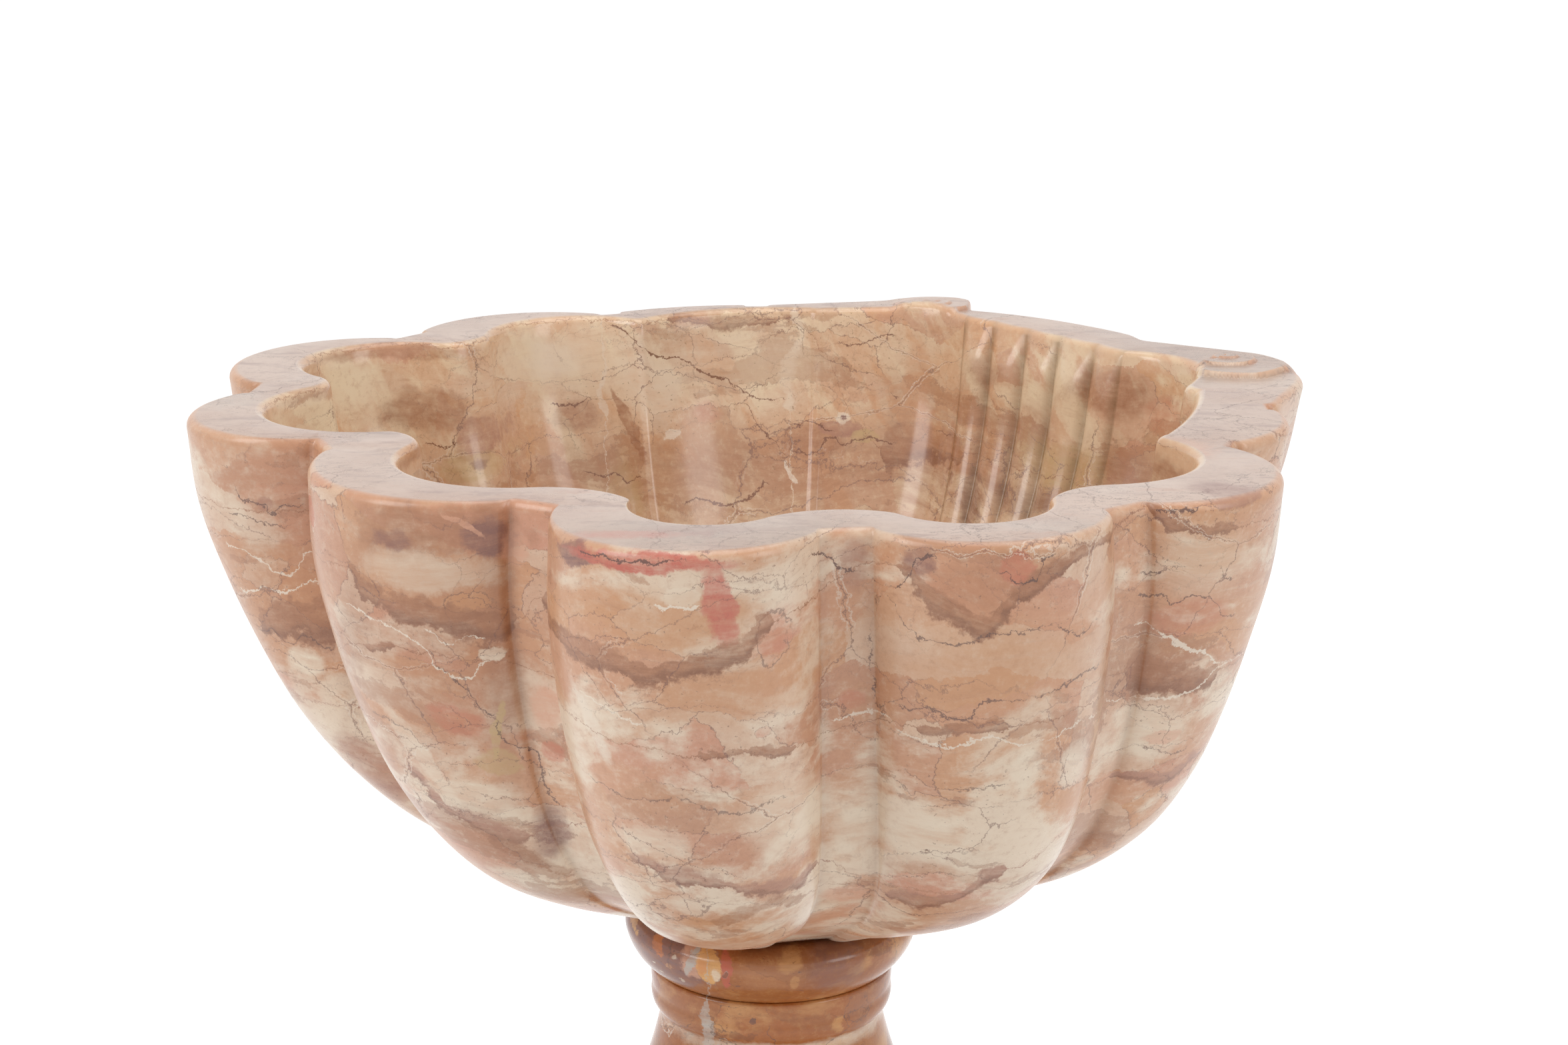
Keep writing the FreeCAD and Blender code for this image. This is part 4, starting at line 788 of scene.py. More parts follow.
        reach = graph.maths("DIVIDE", signed, width + 0.0003)
        mask = graph.step(abs(reach + bed.soft * 0.3), 1.0 + bed.soft * 0.6, 1.0 - bed.soft * 0.6,
                          0.0, bed.strength)
        colour = graph.mix(mask * spots["streaky"], colour, bed.colour)
        if bed.foot:
            dark = graph.step(abs(reach + 0.75), 0.6, 0.0, 0.0, 0.55) * spots["streaky"]
            colour = graph.mix(dark, colour, bed.foot)
        return colour

    @staticmethod
    def blotted(graph: Graph, spots: dict[str, Value], patch: Patch, colour: Value) -> Value:
        """The colour with one patch over it.

        Args:
            graph: The material's node tree.
            spots: Where a place is, and its unevenness.
            patch: The patch.
            colour: The colour under it.

        Returns:
            The colour with it.
        """
        shares = []
        for half_size, quarter in zip(patch.half_sizes, (0.0, 90.0)):
            axis = bearing(patch.turn + quarter) / (half_size * MM)
            shares.append(graph.share(spots["plane"], (
                axis.x, axis.y, -axis.dot(Vector(patch.middle)) * MM)))
        reach = graph.maths("SQRT", graph.maths("MULTIPLY_ADD", shares[0], shares[0],
                                                shares[1] * shares[1]))
        reach = graph.maths("MULTIPLY_ADD", spots["ragged"], patch.ragged, reach)
        mask = graph.step(reach, 1.0 - patch.soft, 1.0 + patch.soft, patch.strength, 0.0)
        colour = graph.mix(mask * spots["streaky"], colour, patch.colour)
        if patch.ring:
            ring = graph.step(abs(reach - 1.02), 0.06, 0.015, 0.0, 0.35) * spots["breaks"]
            colour = graph.mix(ring, colour, patch.ring)
        return colour

    def face(self, graph: Graph, pattern: dict[str, Value], spots: dict[str, Value]) -> Value:
        """The stone, with its placed marks, seams and threads.

        Args:
            graph: The material's node tree.
            pattern: The block's own patterns.
            spots: Where a place is, and its unevenness.

        Returns:
            The colour.
        """
        palette = self.palette
        colour = self.stone(graph, pattern, spots)
        # Painted shade: warmer, darker stone on the arris sides and on the carving's steep faces
        colour = graph.mix(graph.mark("worn") * 0.35, colour, palette.warm)
        for patch in self.patches:
            colour = self.blotted(graph, spots, patch, colour)
        for bed in self.beds:
            colour = self.laid(graph, spots, bed, colour)
        colour = graph.mix(pattern["seams"] * 0.65, colour, palette.seam)
        colour = graph.mix(pattern["specks"] * 0.55, colour, palette.dark)
        return graph.mix(pattern["calcite"] * 0.6, colour, palette.calcite)

    def rim_face(self, graph: Graph, pattern: dict[str, Value], spots: dict[str, Value],
                 colour: Value) -> Value:
        """The colour with the rim top's painted pale reflection over it, which carries the stone's
        own streaks, seams and patches.
            spots: Where a place is, and its unevenness.
            colour: The colour under it.

        Returns:
            The colour with it.
        """
        rim = self.rim
        lying = graph.node("CombineXYZ", {}, {0: spots["across"], 1: spots["depth"] * 3.4,
                                              2: spots["height"]})
        streaks = graph.noise(lying, 17.0, 6.0, 0.68)
        pale = graph.mix(graph.step(pattern["clouds"], 0.38, 0.62), rim.ground, rim.cream)
        pale = graph.mix(graph.step(streaks, 0.52, 0.66) * 0.7, pale, rim.band)
        pale = graph.mix(graph.step(streaks, 0.42, 0.30) * 0.5, pale, rim.rose)
        threads = graph.step(abs(streaks - 0.47), 0.009, 0.002) * graph.step(pattern["here"], 0.46,
                                                                            0.56)
        pale = graph.mix(threads * 0.7, pale, rim.seam)
        pale = graph.mix(pattern["seams"] * 0.6, self.mottled(graph, pattern, rim, pale), rim.seam)
        pale = graph.mix(pattern["specks"] * 0.5, pale, rim.dark)
        flat = {**spots, "plane": graph.node("CombineXYZ", {}, {
            0: spots["across"], 1: spots["depth"], 2: 1.0})}
        for patch in self.rim_patches:
            pale = self.blotted(graph, flat, patch, pale)
        # Painted reflection: the pale rim colours cover the flat top, and less of the steep
        # carving
        return graph.mix(graph.mark("top") * 0.92, colour, pale)

    def spots(self, graph: Graph, place: Value, pattern: dict[str, Value]) -> dict[str, Value]:
        """Where a place is on the front, and the unevenness that the placed marks share.

        Args:
            graph: The material's node tree.
            place: The place on the object.
            pattern: The block's own patterns.

        Returns:
            The values by name.
        """
        uneven = graph.noise(place, 28.0, 6.0, 0.68, "Color")
        parts = [graph.node("SeparateColor", {}, {0: uneven}, number) for number in range(3)]
        middle = -(self.wander + self.jag) / 2
        wavy = graph.warped(graph.scaled(place, shift=(middle,) * 3), uneven, self.wander)
        wavy = graph.warped(wavy, pattern["fine"], self.jag)
        across = graph.node("SeparateXYZ", {}, {
            0: graph.scaled(wavy, turn=-math.radians(FACING))}, "X")
        outputs = across.socket.node.outputs
        height = Value(graph, outputs["Z"])
        return {"across": across, "height": height, "depth": Value(graph, outputs["Y"]),
                "plane": graph.node("CombineXYZ", {}, {0: across, 1: height, 2: 1.0}),
                "ragged": (parts[0] - 0.5) * 2.0 + (pattern["mottle"] - 0.5) * 0.8,
                "swell": graph.step(parts[1], 0.30, 0.66, 0.25, 1.7),
                "breaks": graph.step(parts[2], 0.36, 0.54, 0.1, 1.5),
                "crinkle": (pattern["mottle"] - 0.5) * 0.008,
                "streaky": pattern["fibres"] * 1.9 + pattern["mottle"] * 1.0 - 0.6}

    def made(self) -> bpy.types.Material:
        """The material.

        Returns:
            The material with its nodes.
        """
        graph = Graph.named(self.name)
        place = graph.place()
        pattern = self.patterns(graph, place)
        spots = self.spots(graph, place, pattern)
        colour = self.face(graph, pattern, spots)
        # Painted shade: darker stone in the channels' corners, the reed crevices and the carving's
        # creases, broken up along the fibres
        grime = graph.mark("grime")
        colour = graph.mix(grime * (pattern["fibres"] * 0.8 + 0.1), colour, self.palette.dark)
        if self.rim:
            colour = self.rim_face(graph, pattern, spots, colour)
        roughness = (pattern["clouds"] * 0.10 + (self.roughness - 0.05)
                     + pattern["seams"] * 0.12 + grime * 0.12)
        relief = graph.noise(place, 320.0, 3.0, 0.6) * 0.1 + graph.noise(place, 24.0, 2.0) * 0.5
        return graph.shade(Base_Color=colour, Roughness=roughness,
                           Normal=graph.bump(relief, 0.0005, 0.25), IOR=1.5)


@dataclass(frozen=True)
class Brass:
    """Cast or drawn brass with fine turning marks, a dull film and dark pits."""

    name: str
    metal: Colour = screen(203, 164, 92)
    film: Colour = screen(150, 116, 66)
    pits: Colour = screen(96, 74, 44)
    roughness: float = 0.24

    def made(self) -> bpy.types.Material:
        """The material.

        Returns:
            The material with its nodes.
        """
        graph = Graph.named(self.name)
        place = graph.place()
        cloud = graph.noise(place, 60.0, 6.0, 0.6)
        turning = graph.noise(graph.scaled(place, (0.2, 0.2, 9.0)), 400.0, 3.0, 0.6)
        spots = graph.noise(place, 300.0, 4.0, 0.7)
        colour = graph.mix(graph.step(cloud, 0.42, 0.66), self.metal, self.film)
        colour = graph.mix(graph.step(spots, 0.62, 0.72) * 0.5, colour, self.pits)
        roughness = cloud * 0.22 + turning * 0.06 + (self.roughness - 0.1)
        return graph.shade(Base_Color=colour, Roughness=roughness, Metallic=1.0,
                           Normal=graph.bump(turning * 0.5 + spots * 0.3, 0.0002, 0.5))


@dataclass(frozen=True)
class Rubber:
    """Moulded rubber with a dusty bloom."""

    name: str = "moulded_rubber"
    ground: Colour = screen(42, 40, 39)
    bloom: Colour = screen(92, 88, 84)

    def made(self) -> bpy.types.Material:
        """The material.

        Returns:
            The material with its nodes.
        """
        graph = Graph.named(self.name)
        place = graph.place()
        cloud = graph.noise(place, 90.0, 5.0, 0.6)
        pores = graph.noise(place, 900.0, 2.0)
        colour = graph.mix(graph.step(cloud, 0.45, 0.75) * 0.6, self.ground, self.bloom)
        return graph.shade(Base_Color=colour, Roughness=cloud * 0.2 + 0.55,
                           Normal=graph.bump(pores, 0.0002, 0.5))


@dataclass(frozen=True)
class Bedding:
    """Fine lime and marble-dust putty in the joints between the stones."""

    name: str = "joint_putty"
    ground: Colour = screen(150, 124, 104)
    dust: Colour = screen(196, 176, 156)

    def made(self) -> bpy.types.Material:
        """The material.

        Returns:
            The material with its nodes.
        """
        graph = Graph.named(self.name)
        place = graph.place()
        cloud = graph.noise(place, 150.0, 6.0, 0.65)
        sand = graph.noise(place, 1200.0, 2.0)
        colour = graph.mix(cloud, self.ground, self.dust)
        return graph.shade(Base_Color=colour, Roughness=cloud * 0.1 + 0.78,
                           Normal=graph.bump(sand + cloud, 0.0004, 0.7))


def dress(piece: bpy.types.Object, material: bpy.types.Material) -> None:
    """Give a piece, or a CAD node, one material all over.

    Args:
        piece: What is dressed.
        material: Its material.
    """
    if not piece.material_slots:
        piece.data.materials.append(None)
    for slot in piece.material_slots:
        slot.material = material


def meshed(name: str, corners: list[Vector], faces: list[tuple[int, ...]]) -> bpy.types.Object:
    """A new smooth-shaded piece from its corners and faces.

    Args:
        name: The piece's name.
        corners: Its corners, in metres.
        faces: The numbers of each face's corners.

    Returns:
        The piece.
    """
    mesh = bpy.data.meshes.new(name)
    mesh.from_pydata(corners, [], faces)
    mesh.update()
    piece = bpy.data.objects.new(name, mesh)
    bpy.context.scene.collection.objects.link(piece)
    for polygon in mesh.polygons:
        polygon.use_smooth = True
    return piece


def primitive(name: str, add: Callable, **settings: object) -> bpy.types.Object:
    """A new named piece from one of Blender's own shapes.

    Args:
        name: The piece's name.
        add: The operator that adds the shape.
        settings: The operator's settings.

    Returns:
        The piece.
    """
    bpy.ops.object.select_all(action="DESELECT")
    add(**settings)
    piece = bpy.context.object
    piece.name = piece.data.name = name
    return piece


def select_only(piece: bpy.types.Object) -> None:
    """Deselect everything, then select one piece and make it active.

    Args:
        piece: The piece.
    """
    bpy.ops.object.select_all(action="DESELECT")
    piece.select_set(True)
    bpy.context.view_layer.objects.active = piece


@contextmanager
def editing(piece: bpy.types.Object) -> Iterator[None]:
    """Edit one piece, with all of it selected at the start.

    Args:
        piece: The piece.

    Returns:
        Nothing, for as long as it is edited.
    """
    select_only(piece)
    bpy.ops.object.mode_set(mode="EDIT")
    bpy.ops.mesh.select_all(action="SELECT")
    yield
    bpy.ops.object.mode_set(mode="OBJECT")


def select_edges(piece: bpy.types.Object, wanted: Callable[[bmesh.types.BMEdge], bool]) -> None:
    """Select these edges alone, of a piece that is being edited.

    Args:
        piece: The piece.
        wanted: Whether an edge is wanted.
    """
    shape = bmesh.from_edit_mesh(piece.data)
    for edge in shape.edges:
        edge.select_set(wanted(edge))
    bmesh.update_edit_mesh(piece.data)


def running(places: Iterable[Vector]) -> list[float]:
    """How far along a run of points each of them is."""
    return list(accumulate(((after - before).length for before, after in pairwise(places)),
                           initial=0.0))


def arc_places(start: Vector, middle: Vector, end: Vector, count: int,
               gather: float = 0.0) -> list[Vector]:
    """Places on the arc through three points, the end left out.

    Args:
        start: Where the arc starts.
        middle: A point that it passes.
        end: Where it ends.
        count: How many places are wanted.
        gather: How far they gather towards the ends, from 0 to 1.

    Returns:
        The places, in order.
    """
    chord, aside = end - start, middle - start
    cross = chord.x * aside.y - chord.y * aside.x
    shares = []
    for number in range(count):
        even = number / count
        shares.append(even * (1 - gather) + gather * (1 - math.cos(math.pi * even)) / 2)
    if abs(cross) < 1e-9:
        return [start + chord * share for share in shares]
    square_chord, square_aside = chord.length_squared, aside.length_squared
    centre = start + Vector((aside.y * square_chord - chord.y * square_aside,
                             chord.x * square_aside - aside.x * square_chord)) / (2 * cross)
    first = math.atan2(start.y - centre.y, start.x - centre.x)
    last = math.atan2(end.y - centre.y, end.x - centre.x)
    through = math.atan2(middle.y - centre.y, middle.x - centre.x)
    turn = (last - first) % (2 * math.pi)
    if (through - first) % (2 * math.pi) > turn:
        turn -= 2 * math.pi
    radius = (start - centre).length
    return [centre + Vector((math.cos(first + turn * share), math.sin(first + turn * share)))
            * radius for share in shares]


def crossings(ring: list[Vector], level: float) -> list[float]:
    """How far across a closed outline in the plan crosses a line at this level.

    Args:
        ring: The outline's places.
        level: The line's level.

    Returns:
        Where it crosses, in no order.
    """
    return [place.x + (level - place.y) / (after.y - place.y) * (after.x - place.x)
            for place, after in zip(ring, ring[1:] + ring[:1])
            if (place.y > level) != (after.y > level)]


def spread(places: list[Vector], count: int) -> list[Vector]:
    """Evenly spaced places along a run of points, the last point left out.

    Args:
        places: The points.
        count: How many places are wanted.

    Returns:
        The places.
    """
    lengths = running(places)
    spaced, leg = [], 0
    for number in range(count):
        want = lengths[-1] * number / count
        while lengths[leg + 1] < want:
            leg += 1
        share = (want - lengths[leg]) / max(lengths[leg + 1] - lengths[leg], 1e-9)
        spaced.append(places[leg].lerp(places[leg + 1], share))
    return spaced


def smooth_rows(rows: list[tuple[float, ...]], count: int,
                lengths: list[float]) -> list[tuple[float, ...]]:
    """Rows of numbers between given rows, on a smooth curve through them.

    Args:
        rows: The given rows.
        count: How many rows are wanted in all.
        lengths: How far along the curve each given row is.

    Returns:
        The wanted rows, evenly spaced along the curve.
    """
    slopes = []
    for number in range(len(rows)):
        low, high = max(number - 1, 0), min(number + 1, len(rows) - 1)
        span = lengths[high] - lengths[low]
        slopes.append([(b - a) / span for a, b in zip(rows[low], rows[high])])
    wanted = []
    for number in range(count):
        along = lengths[-1] * number / (count - 1)
        leg = 0
        while leg < len(rows) - 2 and lengths[leg + 1] < along:
            leg += 1
        span = lengths[leg + 1] - lengths[leg]
        t = (along - lengths[leg]) / span
        weights = (2 * t ** 3 - 3 * t ** 2 + 1, t ** 3 - 2 * t ** 2 + t,
                   3 * t ** 2 - 2 * t ** 3, t ** 3 - t ** 2)
        wanted.append(tuple(
            weights[0] * a + weights[1] * span * sa + weights[2] * b + weights[3] * span * sb
            for a, sa, b, sb in zip(rows[leg], slopes[leg], rows[leg + 1], slopes[leg + 1])))
    return wanted


@dataclass(frozen=True)
class Volute:
    """A snail coil on the rim: its middle in metres, and the outer step's distance by bearing.

    The step is crisp between two bearings. Away from them it gets softer, by the whole blur after
    the blur's turn in degrees. The coil starts at its own bearing, draws in from the first
    distance to the second in a turn, and has its own rise. The net is how far the rim's fine net
    of places reaches from the middle.
    """

    middle: Point
    step: tuple[Point, ...]
    crisp: Point
    coil_start: float
    coil: Point
    net: float
    rise: float = 0.00126
    blur: float = 0.012
    blur_turn: float = 60.0

    def polar(self, place: Vector) -> tuple[float, float]:
        """The bearing and the distance of a place from the middle."""
        offset = place - Vector(self.middle)
        return math.degrees(math.atan2(offset.y, offset.x)), offset.length

    def share(self, place: Vector, ease: float) -> float:
        """How much of the outer step's height a place has.

        Args:
            place: The place in the plan.
            ease: How wide the step is.

        Returns:
            The share, from 0 to 1.
        """
        degrees, distance = self.polar(place)
        edge = self.step[-1][1]
        for (low, first), (high, second) in pairwise(self.step):
            if low <= degrees <= high:
                edge = first + (second - first) * (degrees - low) / (high - low)
        away = max(self.crisp[0] - degrees, degrees - self.crisp[1], 0.0)
        ease += min(away / self.blur_turn, 1.0) * self.blur
        return eased((edge - distance) / (2 * ease) + 0.5)

    def coiled(self, place: Vector, ease: float) -> float:
        """How high a place is on the inner coil, from 0 to 1.6 at the eye.

        Args:
            place: The place in the plan.
            ease: How wide the coil's steps are.

        Returns:
            The height, in the coil's rises.
        """
        degrees, distance = self.polar(place)
        turn = ((degrees - self.coil_start) / 360.0) % 1.0
        height = 0.0
        for outer, inner, rise in ((*self.coil, 1.0), (self.coil[1], self.coil[1] * 0.25, 0.6)):
            edge = outer + (inner - outer) * turn
            height += rise * eased((edge - distance) / (2 * ease) + 0.5)
        return height


def eased(share: float) -> float:
    """A smooth step from 0 to 1."""
    share = min(max(share, 0.0), 1.0)
    return share * share * (3 - 2 * share)


@dataclass(frozen=True)
class Channel:
    """A channel between two lobes outside, and the ridge that stands for it inside.

    Each has a bearing in degrees, a distance from the axis as a share of the reach and a width as
    a share of the usual one. The channel's bearing drifts on the way down the wall.
    """

    degrees: float
    drift: float
    share: float
    width: float
    inner_degrees: float
    inner_share: float
    inner_width: float


@dataclass(frozen=True)
class Lobe:
    """How far a lobe bulges outside and inside, and its lean, as shares of its chord."""

    outer: float
    inner: float
    lean: float


@dataclass
class ShellBowl:
    """The carved shell: nine lobes, ten channels, a hinge with two volutes, and reeds inside."""

    marble: bpy.types.Material
    inner_marble: bpy.types.Material
    reach: float = 0.3399
    rim: float = 0.880
    foot: float = 0.562
    floor: float = 0.620
    arris: float = 0.006
    foot_radius: float = 0.076
    floor_radius: float = 0.046
    channel_width: float = 0.030
    channel_step: float = 0.005
    channel_taper: float = 0.56
    channel_widest: float = 0.36
    ridge_width: float = 0.026
    ridge_bulge: float = 0.16
    reed_height: float = 0.007
    reed_start: float = 0.024
    front_shift: float = 0.014
    side_shift: float = 0.004
    drain_radius: float = 0.0224
    recess_radius: float = 0.036
    recess_depth: float = 0.006
    strip_rise: float = 0.0013
    strip_ends: Point = (-0.03, 0.06)
    sink: float = 0.0022
    sink_reach: Point = (0.045, 0.110)
    disc_rise: float = 0.0028
    net_cell: float = 0.0011
    # How wide the carving's steps are on the rim and on the walls, how far apart its heights are
    # probed, what counts as fully steep and fully creased, and how much of the rim's painted pale
    # reflection steep carving loses
    crisp_ease: float = 0.0008
    wall_ease: float = 0.003
    probe: float = 0.0013
    full_slope: float = 0.55
    full_crease: float = 0.0004
    steep_share: float = 0.85
    hinge_start: float = 0.15
    lift_ends: Point = (0.024, 0.004)
    # Painted shade in corners and creases: full from this depth under the rim downwards, and this
    # share of it higher up
    shade_start: float = 0.004
    top_shade: float = 0.4
    channels: tuple[Channel, ...] = tuple(Channel(*row) for row in (
        (137.3, -6.0, 0.892, 0.55, 129.0, 0.855, 0.35),
        (157.3, -12.0, 0.873, 0.55, 154.7, 0.790, 0.30),
        (185.2, -12.0, 0.927, 1.0, 182.4, 0.802, 1.50),
        (218.0, -6.0, 0.950, 1.0, 214.1, 0.833, 1.10),
        (248.0, -6.0, 0.818, 1.0, 248.5, 0.667, 1.30),
        (287.7, -2.7, 0.797, 1.0, 290.3, 0.700, 2.30),
        (322.9, 5.8, 0.875, 1.0, 322.4, 0.770, 2.50),
        (352.6, 14.0, 0.921, 1.0, 353.7, 0.794, 1.80),
        (383.1, 14.0, 0.838, 0.55, 384.2, 0.708, 0.40),
        (402.9, 6.0, 0.883, 0.55, 415.9, 0.775, 0.80)))
    lobes: tuple[Lobe, ...] = tuple(Lobe(*row) for row in (
        (0.07, 0.12, 0.0), (0.225, 0.30, -0.06), (0.33, 0.42, 0.06), (0.34, 0.385, 0.10),
        (0.28, 0.303, 0.0), (0.43, 0.41, 0.0), (0.325, 0.40, 0.04), (0.325, 0.295, 0.0),
        (0.155, 0.045, -0.05)))
    corner_right: tuple[Point, ...] = ((0.553, 0.815), (0.480, 0.905), (0.368, 0.946))
    jog_right: tuple[Point, ...] = ((0.135, 0.884), (0.085, 0.912))
    hinge_middle: Point = (-0.110, 0.932)
    jog_left: tuple[Point, ...] = ((-0.285, 0.897), (-0.320, 0.884))
    back_left: Point = (-0.365, 0.936)
    corner_left: tuple[Point, ...] = ((-0.400, 0.945), (-0.470, 0.915), (-0.512, 0.835))
    flute_right: tuple[Point, ...] = ((0.360, 0.757), (0.285, 0.790), (0.171, 0.765))
    reeds: tuple[Point, ...] = ((0.171, 0.765), (0.091, 0.782), (-0.012, 0.797),
                                (-0.103, 0.809), (-0.197, 0.816), (-0.274, 0.816))
    flute_left: tuple[Point, ...] = ((-0.274, 0.816), (-0.350, 0.826), (-0.425, 0.795))
    volute_right: Volute = Volute(
        (0.1224, 0.2890), ((-180, 0.2), (-98, 0.2), (-90, 0.0361), (-52, 0.040), (-29, 0.0430),
                           (3, 0.0388), (40, 0.042), (80, 0.2), (180, 0.2)),
        (-180.0, 4.0), -105.0, (0.0225, 0.0088), 0.050, 0.0021)
    volute_left: Volute = Volute(
        (-0.1335, 0.2895), ((-180, 0.026), (-119, 0.0245), (-84, 0.0205), (-27, 0.0222),
                            (7, 0.0249), (23, 0.0268), (60, 0.030), (180, 0.026)),
        (-125.0, 60.0), -128.0, (0.0165, 0.0066), 0.040)
    # Depth, how much of the way out is left, and the shares of the two shifts there.
    outer_curve: tuple[tuple[float, ...], ...] = (
        (0.0, 1.0, 0.0, 0.0), (0.15, 0.974, -0.05, 0.65), (0.30, 0.914, 0.06, 1.0),
        (0.45, 0.840, 0.24, 1.0), (0.58, 0.758, 0.50, 0.85), (0.70, 0.644, 0.88, 0.55),
        (0.80, 0.500, 0.95, 0.9), (0.88, 0.318, 0.60, 1.6), (0.95, 0.132, 0.12, 0.5),
        (1.0, 0.0, 0.0, 0.0))
    inner_curve: tuple[tuple[float, ...], ...] = (
        (0.0, 1.0), (0.10, 0.985), (0.24, 0.958), (0.42, 0.892), (0.60, 0.782),
        (0.76, 0.630), (0.89, 0.435), (0.97, 0.235), (1.0, 0.0))
    step_places: int = 3
    bed_places: int = 8
    lobe_places: int = 34
    hinge_places: tuple[int, ...] = (14, 46, 80, 40, 12)
    outer_rings: int = 58
    inner_rings: int = 50
    arris_rings: int = 6
    # Painted pale reflection and painted side shade on the rings round the rim, from the outside
    # in to the hollow
    arris_sheen: tuple[float, ...] = (0.0, 0.0, 0.0, 0.15, 0.5, 1.0,
                                     1.0, 0.5, 0.15, 0.0, 0.0, 0.0)
    arris_side_shade: tuple[float, ...] = (0.3, 0.6, 0.9, 1.0, 1.0, 0.8, 0.5, 0.2,
                                     0.2, 0.5, 0.8, 1.0, 0.9, 0.6)
    # Painted shade across each channel's places, in its corners
    channel_shade: tuple[float, ...] = (0.0, 0.0, 0.1, 0.35, 0.15, 0.0, 0.0,
                                        0.0, 0.0, 0.0, 0.15, 0.35, 0.1, 0.0)

    @property
    def channel_places(self) -> int:
        """How many places a channel takes on an outline."""
        return 2 * self.step_places + self.bed_places

    @property
    def wall_top(self) -> float:
        """How high the walls are under the rim's round arris."""
        return self.rim - self.arris

    @property
    def inner_reach(self) -> float:
        """How far the ridges inside are from the axis, on the whole."""
        return self.reach * sum(c.inner_share for c in self.channels) / len(self.channels)

    @property
    def reed_count(self) -> int:
        """How many reeds there are."""
        return len(self.reeds) - 1

    @property
    def reed_bulge(self) -> float:
        """How far a reed stands out at its fullest, as a share of its chord."""
        return self.reed_height / (self.reach * (self.reeds[0][0] - self.reeds[-1][0])
                                   / self.reed_count)

    def at(self, shares: Point, scale: float) -> Vector:
        """A place in the plan, given by its shares of the reach."""
        return Vector(shares) * (self.reach * scale)

    def swell(self, start: Vector, end: Vector, bulge: float, lean: float,
              count: int, gather: float) -> list[Vector]:
        """Places on an arc that swells to the right of the way it runs.

        Args:
            start: Where the arc starts.
            end: Where it ends.
            bulge: How far it swells, as a share of its chord.
            lean: How far its middle moves on, as a share of its chord.
            count: How many places are wanted.
            gather: How far they gather towards the ends.

        Returns:
            The places, the end left out.
        """
        chord = end - start
        middle = (start + end) / 2 + Vector((chord.y, -chord.x)) * bulge + chord * lean
        return arc_places(start, middle, end, count, gather)

    def scallops(self, scale: float, depth: float, outside: bool) -> tuple[list[Vector], Vector]:
        """The channels or ridges with the lobes between them, at one level.

        Args:
            scale: The outline's size against the rim's.
            depth: How far down the wall the level is, from 0 to 1.
            outside: Whether it is the outside's outline.

        Returns:
            The places counter-clockwise, and the last channel's far edge.
        """
        reach = self.reach * scale
        edges = []
        for channel in self.channels:
            if outside:
                degrees, share = channel.degrees + channel.drift * depth, channel.share
                change = (min(1 - scale, self.channel_widest) if channel.width == 1.0
                          else scale - 1)
                width = self.channel_width * channel.width * (1 + self.channel_taper * change)
                lift = self.channel_step * (0.4 + 0.6 * scale)
            else:
                degrees, share = channel.inner_degrees, channel.inner_share
                width, lift = self.ridge_width * scale * channel.inner_width, 0.0
            out = bearing(degrees)
            along = Vector((-out.y, out.x))
            middle = out * (share * reach)
            edges.append((middle - along * width / 2, middle + along * width / 2, out * lift))
        places = []
        for number, (start, end, step) in enumerate(edges):
            if outside:
                for first, last, count in ((start + step, start, self.step_places),
                                           (start, end, self.bed_places),
                                           (end, end + step, self.step_places)):
                    places += [first.lerp(last, share / count) for share in range(count)]
            else:
                places += self.swell(start, end, -self.ridge_bulge, 0.0, self.channel_places, 0.0)
            if number < len(self.lobes):
                lobe = self.lobes[number]
                following = edges[number + 1]
                places += self.swell(end + step, following[0] + following[2],
                                     lobe.outer if outside else lobe.inner, lobe.lean,
                                     self.lobe_places, 0.35)
        return places, edges[-1][1] + edges[-1][2]

    def soften(self, places: list[Vector], rounds: int) -> list[Vector]:
        """A closed outline with its corners eased.

        Args:
            places: The outline's places.
            rounds: How often they are eased.

        Returns:
            As many places.
        """
        for _ in range(rounds):
            places = [(places[n - 1] + places[n] * 2 + places[(n + 1) % len(places)]) / 4
                      for n in range(len(places))]
        return places

    def outer_outline(self, scale: float, depth: float) -> list[Vector]:
        """The outside's outline at one level.

        Args:
            scale: Its size against the rim's.
            depth: How far down the wall it is, from 0 to 1.

        Returns:
            Its places in the plan.
        """
        places, last = self.scallops(scale, depth, True)
        first = places[0]
        right, jog_right, jog_left, left = (
            [self.at(p, scale) for p in points]
            for points in (self.corner_right, self.jog_right, self.jog_left, self.corner_left))
        back = self.at(self.back_left, scale)
        runs = [[last, right[0]],
                arc_places(*right, 20) + [right[2], jog_right[0], jog_right[1]],
                arc_places(jog_right[1], self.at(self.hinge_middle, scale), jog_left[0], 40)
                + [jog_left[0]],
                [jog_left[0], jog_left[1], back] + arc_places(*left, 20) + [left[2]],
                [left[2], first]]
        for run, count in zip(runs, self.hinge_places):
            places += spread(run, count)
        return self.soften(places, 2)

    def inner_outline(self, scale: float, bulge: float) -> list[Vector]:
        """The hollow's outline at one level, with this bulge of the reeds.

        Args:
            scale: Its size against the rim's.
            bulge: How far the reeds stand out, as a share of their chord.

        Returns:
            Its places in the plan.
        """
        places, last = self.scallops(scale, 0.0, False)
        first = places[0]
        right, left, reeds = ([self.at(p, scale) for p in points]
                              for points in (self.flute_right, self.flute_left, self.reeds))
        places += spread([last, right[0]], self.hinge_places[0])
        places += arc_places(*right, self.hinge_places[1])
        for start, end in pairwise(reeds):
            places += self.swell(start, end, -bulge, 0.0,
                                 self.hinge_places[2] // self.reed_count, 0.3)
        places += arc_places(*left, self.hinge_places[3])
        places += spread([left[2], first], self.hinge_places[4])
        return self.soften(places, 1)

